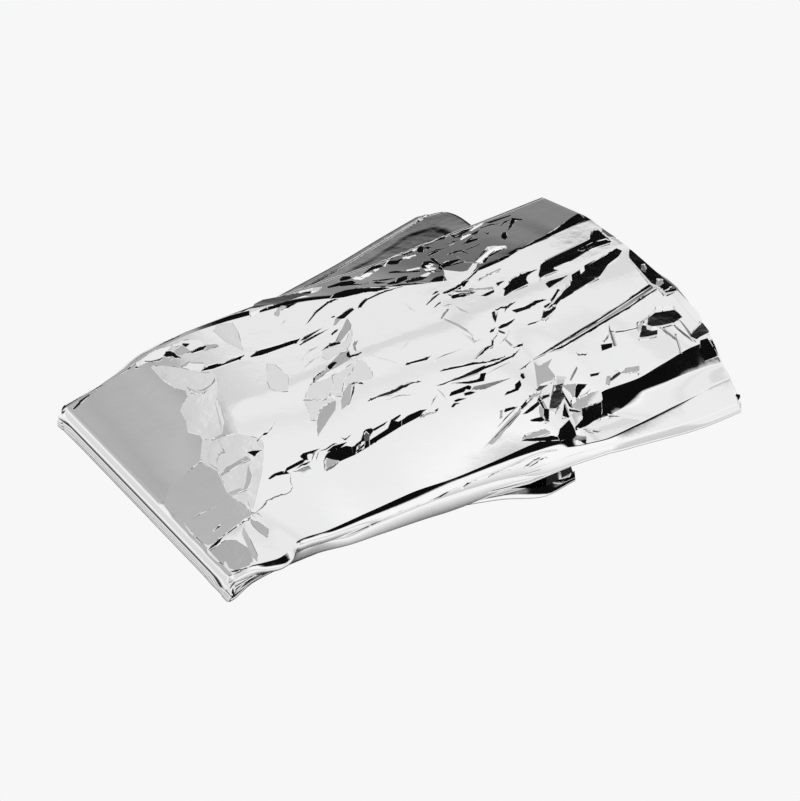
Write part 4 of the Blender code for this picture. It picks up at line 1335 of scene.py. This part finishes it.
def view_axes():
    """Unit vectors from the target to the camera, and to its right."""
    level = math.cos(VIEW_ELEVATION)
    back = (math.sin(VIEW_AZIMUTH) * level, -math.cos(VIEW_AZIMUTH) * level, math.sin(VIEW_ELEVATION))
    return np.array(back), np.array([math.cos(VIEW_AZIMUTH), math.sin(VIEW_AZIMUTH), 0.0])


def make_camera():
    back = Vector(view_axes()[0])
    data = bpy.data.cameras.new("camera")
    data.lens, data.clip_end = VIEW_LENS, VIEW_END
    camera = bpy.data.objects.new("camera", data)
    camera.location = Vector(VIEW_TARGET) * MM + back * (VIEW_DISTANCE * MM)
    camera.rotation_euler = back.to_track_quat("Z", "Y").to_euler()
    bpy.context.scene.collection.objects.link(camera)
    bpy.context.scene.camera = camera


# The studio, as the film mirrors it: greys along the pitch, which runs in degrees from the far horizon, 0,
# over the top, 90, to behind the camera, 180.
MIDDLE_SKY = [
    (0, 0.36), (8, 0.28), (13, 0.18), (17.5, 0.16), (18.5, 0.07), (19.5, 0.06), (20, 0.004), (28.5, 0.004),
    (30, 0.17), (33, 0.38), (34.2, 0.84), (39, 0.87), (39.8, 0.74), (43.2, 0.74), (44, 0.87), (49, 0.88),
    (51, 0.8), (54, 0.89), (60, 0.9), (66, 1.0), (76, 0.004), (99, 0.004), (107, 1.0), (140, 1.0), (180, 0.6),
]
NEAR_LEFT_SKY = [
    (0, 0.36), (8, 0.28), (14, 0.18), (18, 0.1), (19, 0.004), (27, 0.004), (29, 0.3), (33, 0.68), (70, 0.72),
    (78, 0.004), (99, 0.004), (107, 0.8), (180, 0.6),
]
LEFT_SKY = [
    (0, 0.36), (14, 0.19), (15, 0.004), (24, 0.004), (26, 0.43), (37, 0.42), (41, 0.5), (46, 0.43),
    (52, 0.52), (60, 0.43), (78, 0.45), (82, 0.1), (100, 0.1), (104, 0.8), (180, 0.6),
]
FAR_RIGHT_SKY = [(0, 0.9), (109, 0.9), (116, 0.68), (180, 0.6)]
FAR_LEFT_GREY, LOW_LEFT_GREY, BACKDROP_GREY = 0.98, 0.76, 0.93
# Where each begins, in degrees to the right of straight ahead, and how soft its border is.
NEAR_LEFT_FROM, LEFT_FROM = (-7.5, 1.0), (-9.0, 1.5)
FAR_LEFT_FROM, LOW_LEFT_FROM, FAR_RIGHT_FROM = (-32.0, 10.0), (-42.0, 8.0), (63.0, 6.0)


def make_world():
    world = bpy.data.worlds.new("studio")
    bpy.context.scene.world = world
    tree = Tree(world)
    where = tree.add("TexCoord").outputs["Generated"]
    ahead = (-math.sin(VIEW_AZIMUTH), math.cos(VIEW_AZIMUTH), 0)
    right = (math.cos(VIEW_AZIMUTH), math.sin(VIEW_AZIMUTH), 0)

    def along(axis):
        return tree.add("VectorMath", {0: where, 1: axis}, operation="DOT_PRODUCT").outputs["Value"]

    def left_of(degrees, soft):
        return tree.math("DIVIDE", tree.math("SUBTRACT", degrees, side), soft, clamp=True)

    def over_pitch(stops):
        return tree.ramp(pitch, stops, 180)

    pitch = tree.math("DIVIDE", tree.math("ARCTAN2", along((0, 0, 1)), along(ahead)), math.pi)
    side = tree.math("MULTIPLY", tree.math("ARCSINE", along(right)), 180 / math.pi)
    sky = tree.mix(left_of(*NEAR_LEFT_FROM), over_pitch(MIDDLE_SKY), over_pitch(NEAR_LEFT_SKY))
    sky = tree.mix(left_of(*LEFT_FROM), sky, over_pitch(LEFT_SKY))
    sky = tree.mix(left_of(*FAR_LEFT_FROM), sky, FAR_LEFT_GREY)
    sky = tree.mix(left_of(*LOW_LEFT_FROM), sky, LOW_LEFT_GREY)
    sky = tree.mix(left_of(*FAR_RIGHT_FROM), over_pitch(FAR_RIGHT_SKY), sky)
    tree.fill(tree.nodes["Background"], {"Color": tree.for_camera(BACKDROP_GREY, sky)})


FLOOR_HALF, FLOOR_DROP, CONTACT_REACH = 6.0, 0.0002, 0.03  # metres
CONTACT_SAMPLES = 6
CONTACT_SHADE = [(0.55, 0.02), (1.0, 0.97)]  # greys that the film mirrors, by how open the floor is


def make_floor():
    mesh = bpy.data.meshes.new("floor")
    corners = [(a * FLOOR_HALF, b * FLOOR_HALF, 0) for a, b in ((-1, -1), (1, -1), (1, 1), (-1, 1))]
    mesh.from_pydata(corners, [], [(0, 1, 2, 3)])
    floor = bpy.data.objects.new("floor", mesh)
    floor.location.z = -FLOOR_DROP
    bpy.context.scene.collection.objects.link(floor)
    material = bpy.data.materials.new("pale_floor")
    tree = Tree(material)
    tree.nodes.remove(tree.nodes["Principled BSDF"])
    near = tree.add("AmbientOcclusion", {"Distance": CONTACT_REACH}, samples=CONTACT_SAMPLES)
    shade = tree.ramp(near.outputs["AO"], CONTACT_SHADE)
    glow = tree.add("Emission", {"Color": tree.for_camera(BACKDROP_GREY, shade)})
    tree.fill(tree.nodes["Material Output"], {"Surface": glow.outputs["Emission"]})
    mesh.materials.append(material)


film = build_film()
film.data.materials.append(foil_material())
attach(film, "root")
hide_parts("foil_blanket")
make_camera()
make_world()
make_floor()
bpy.context.scene.view_settings.view_transform = "Standard"
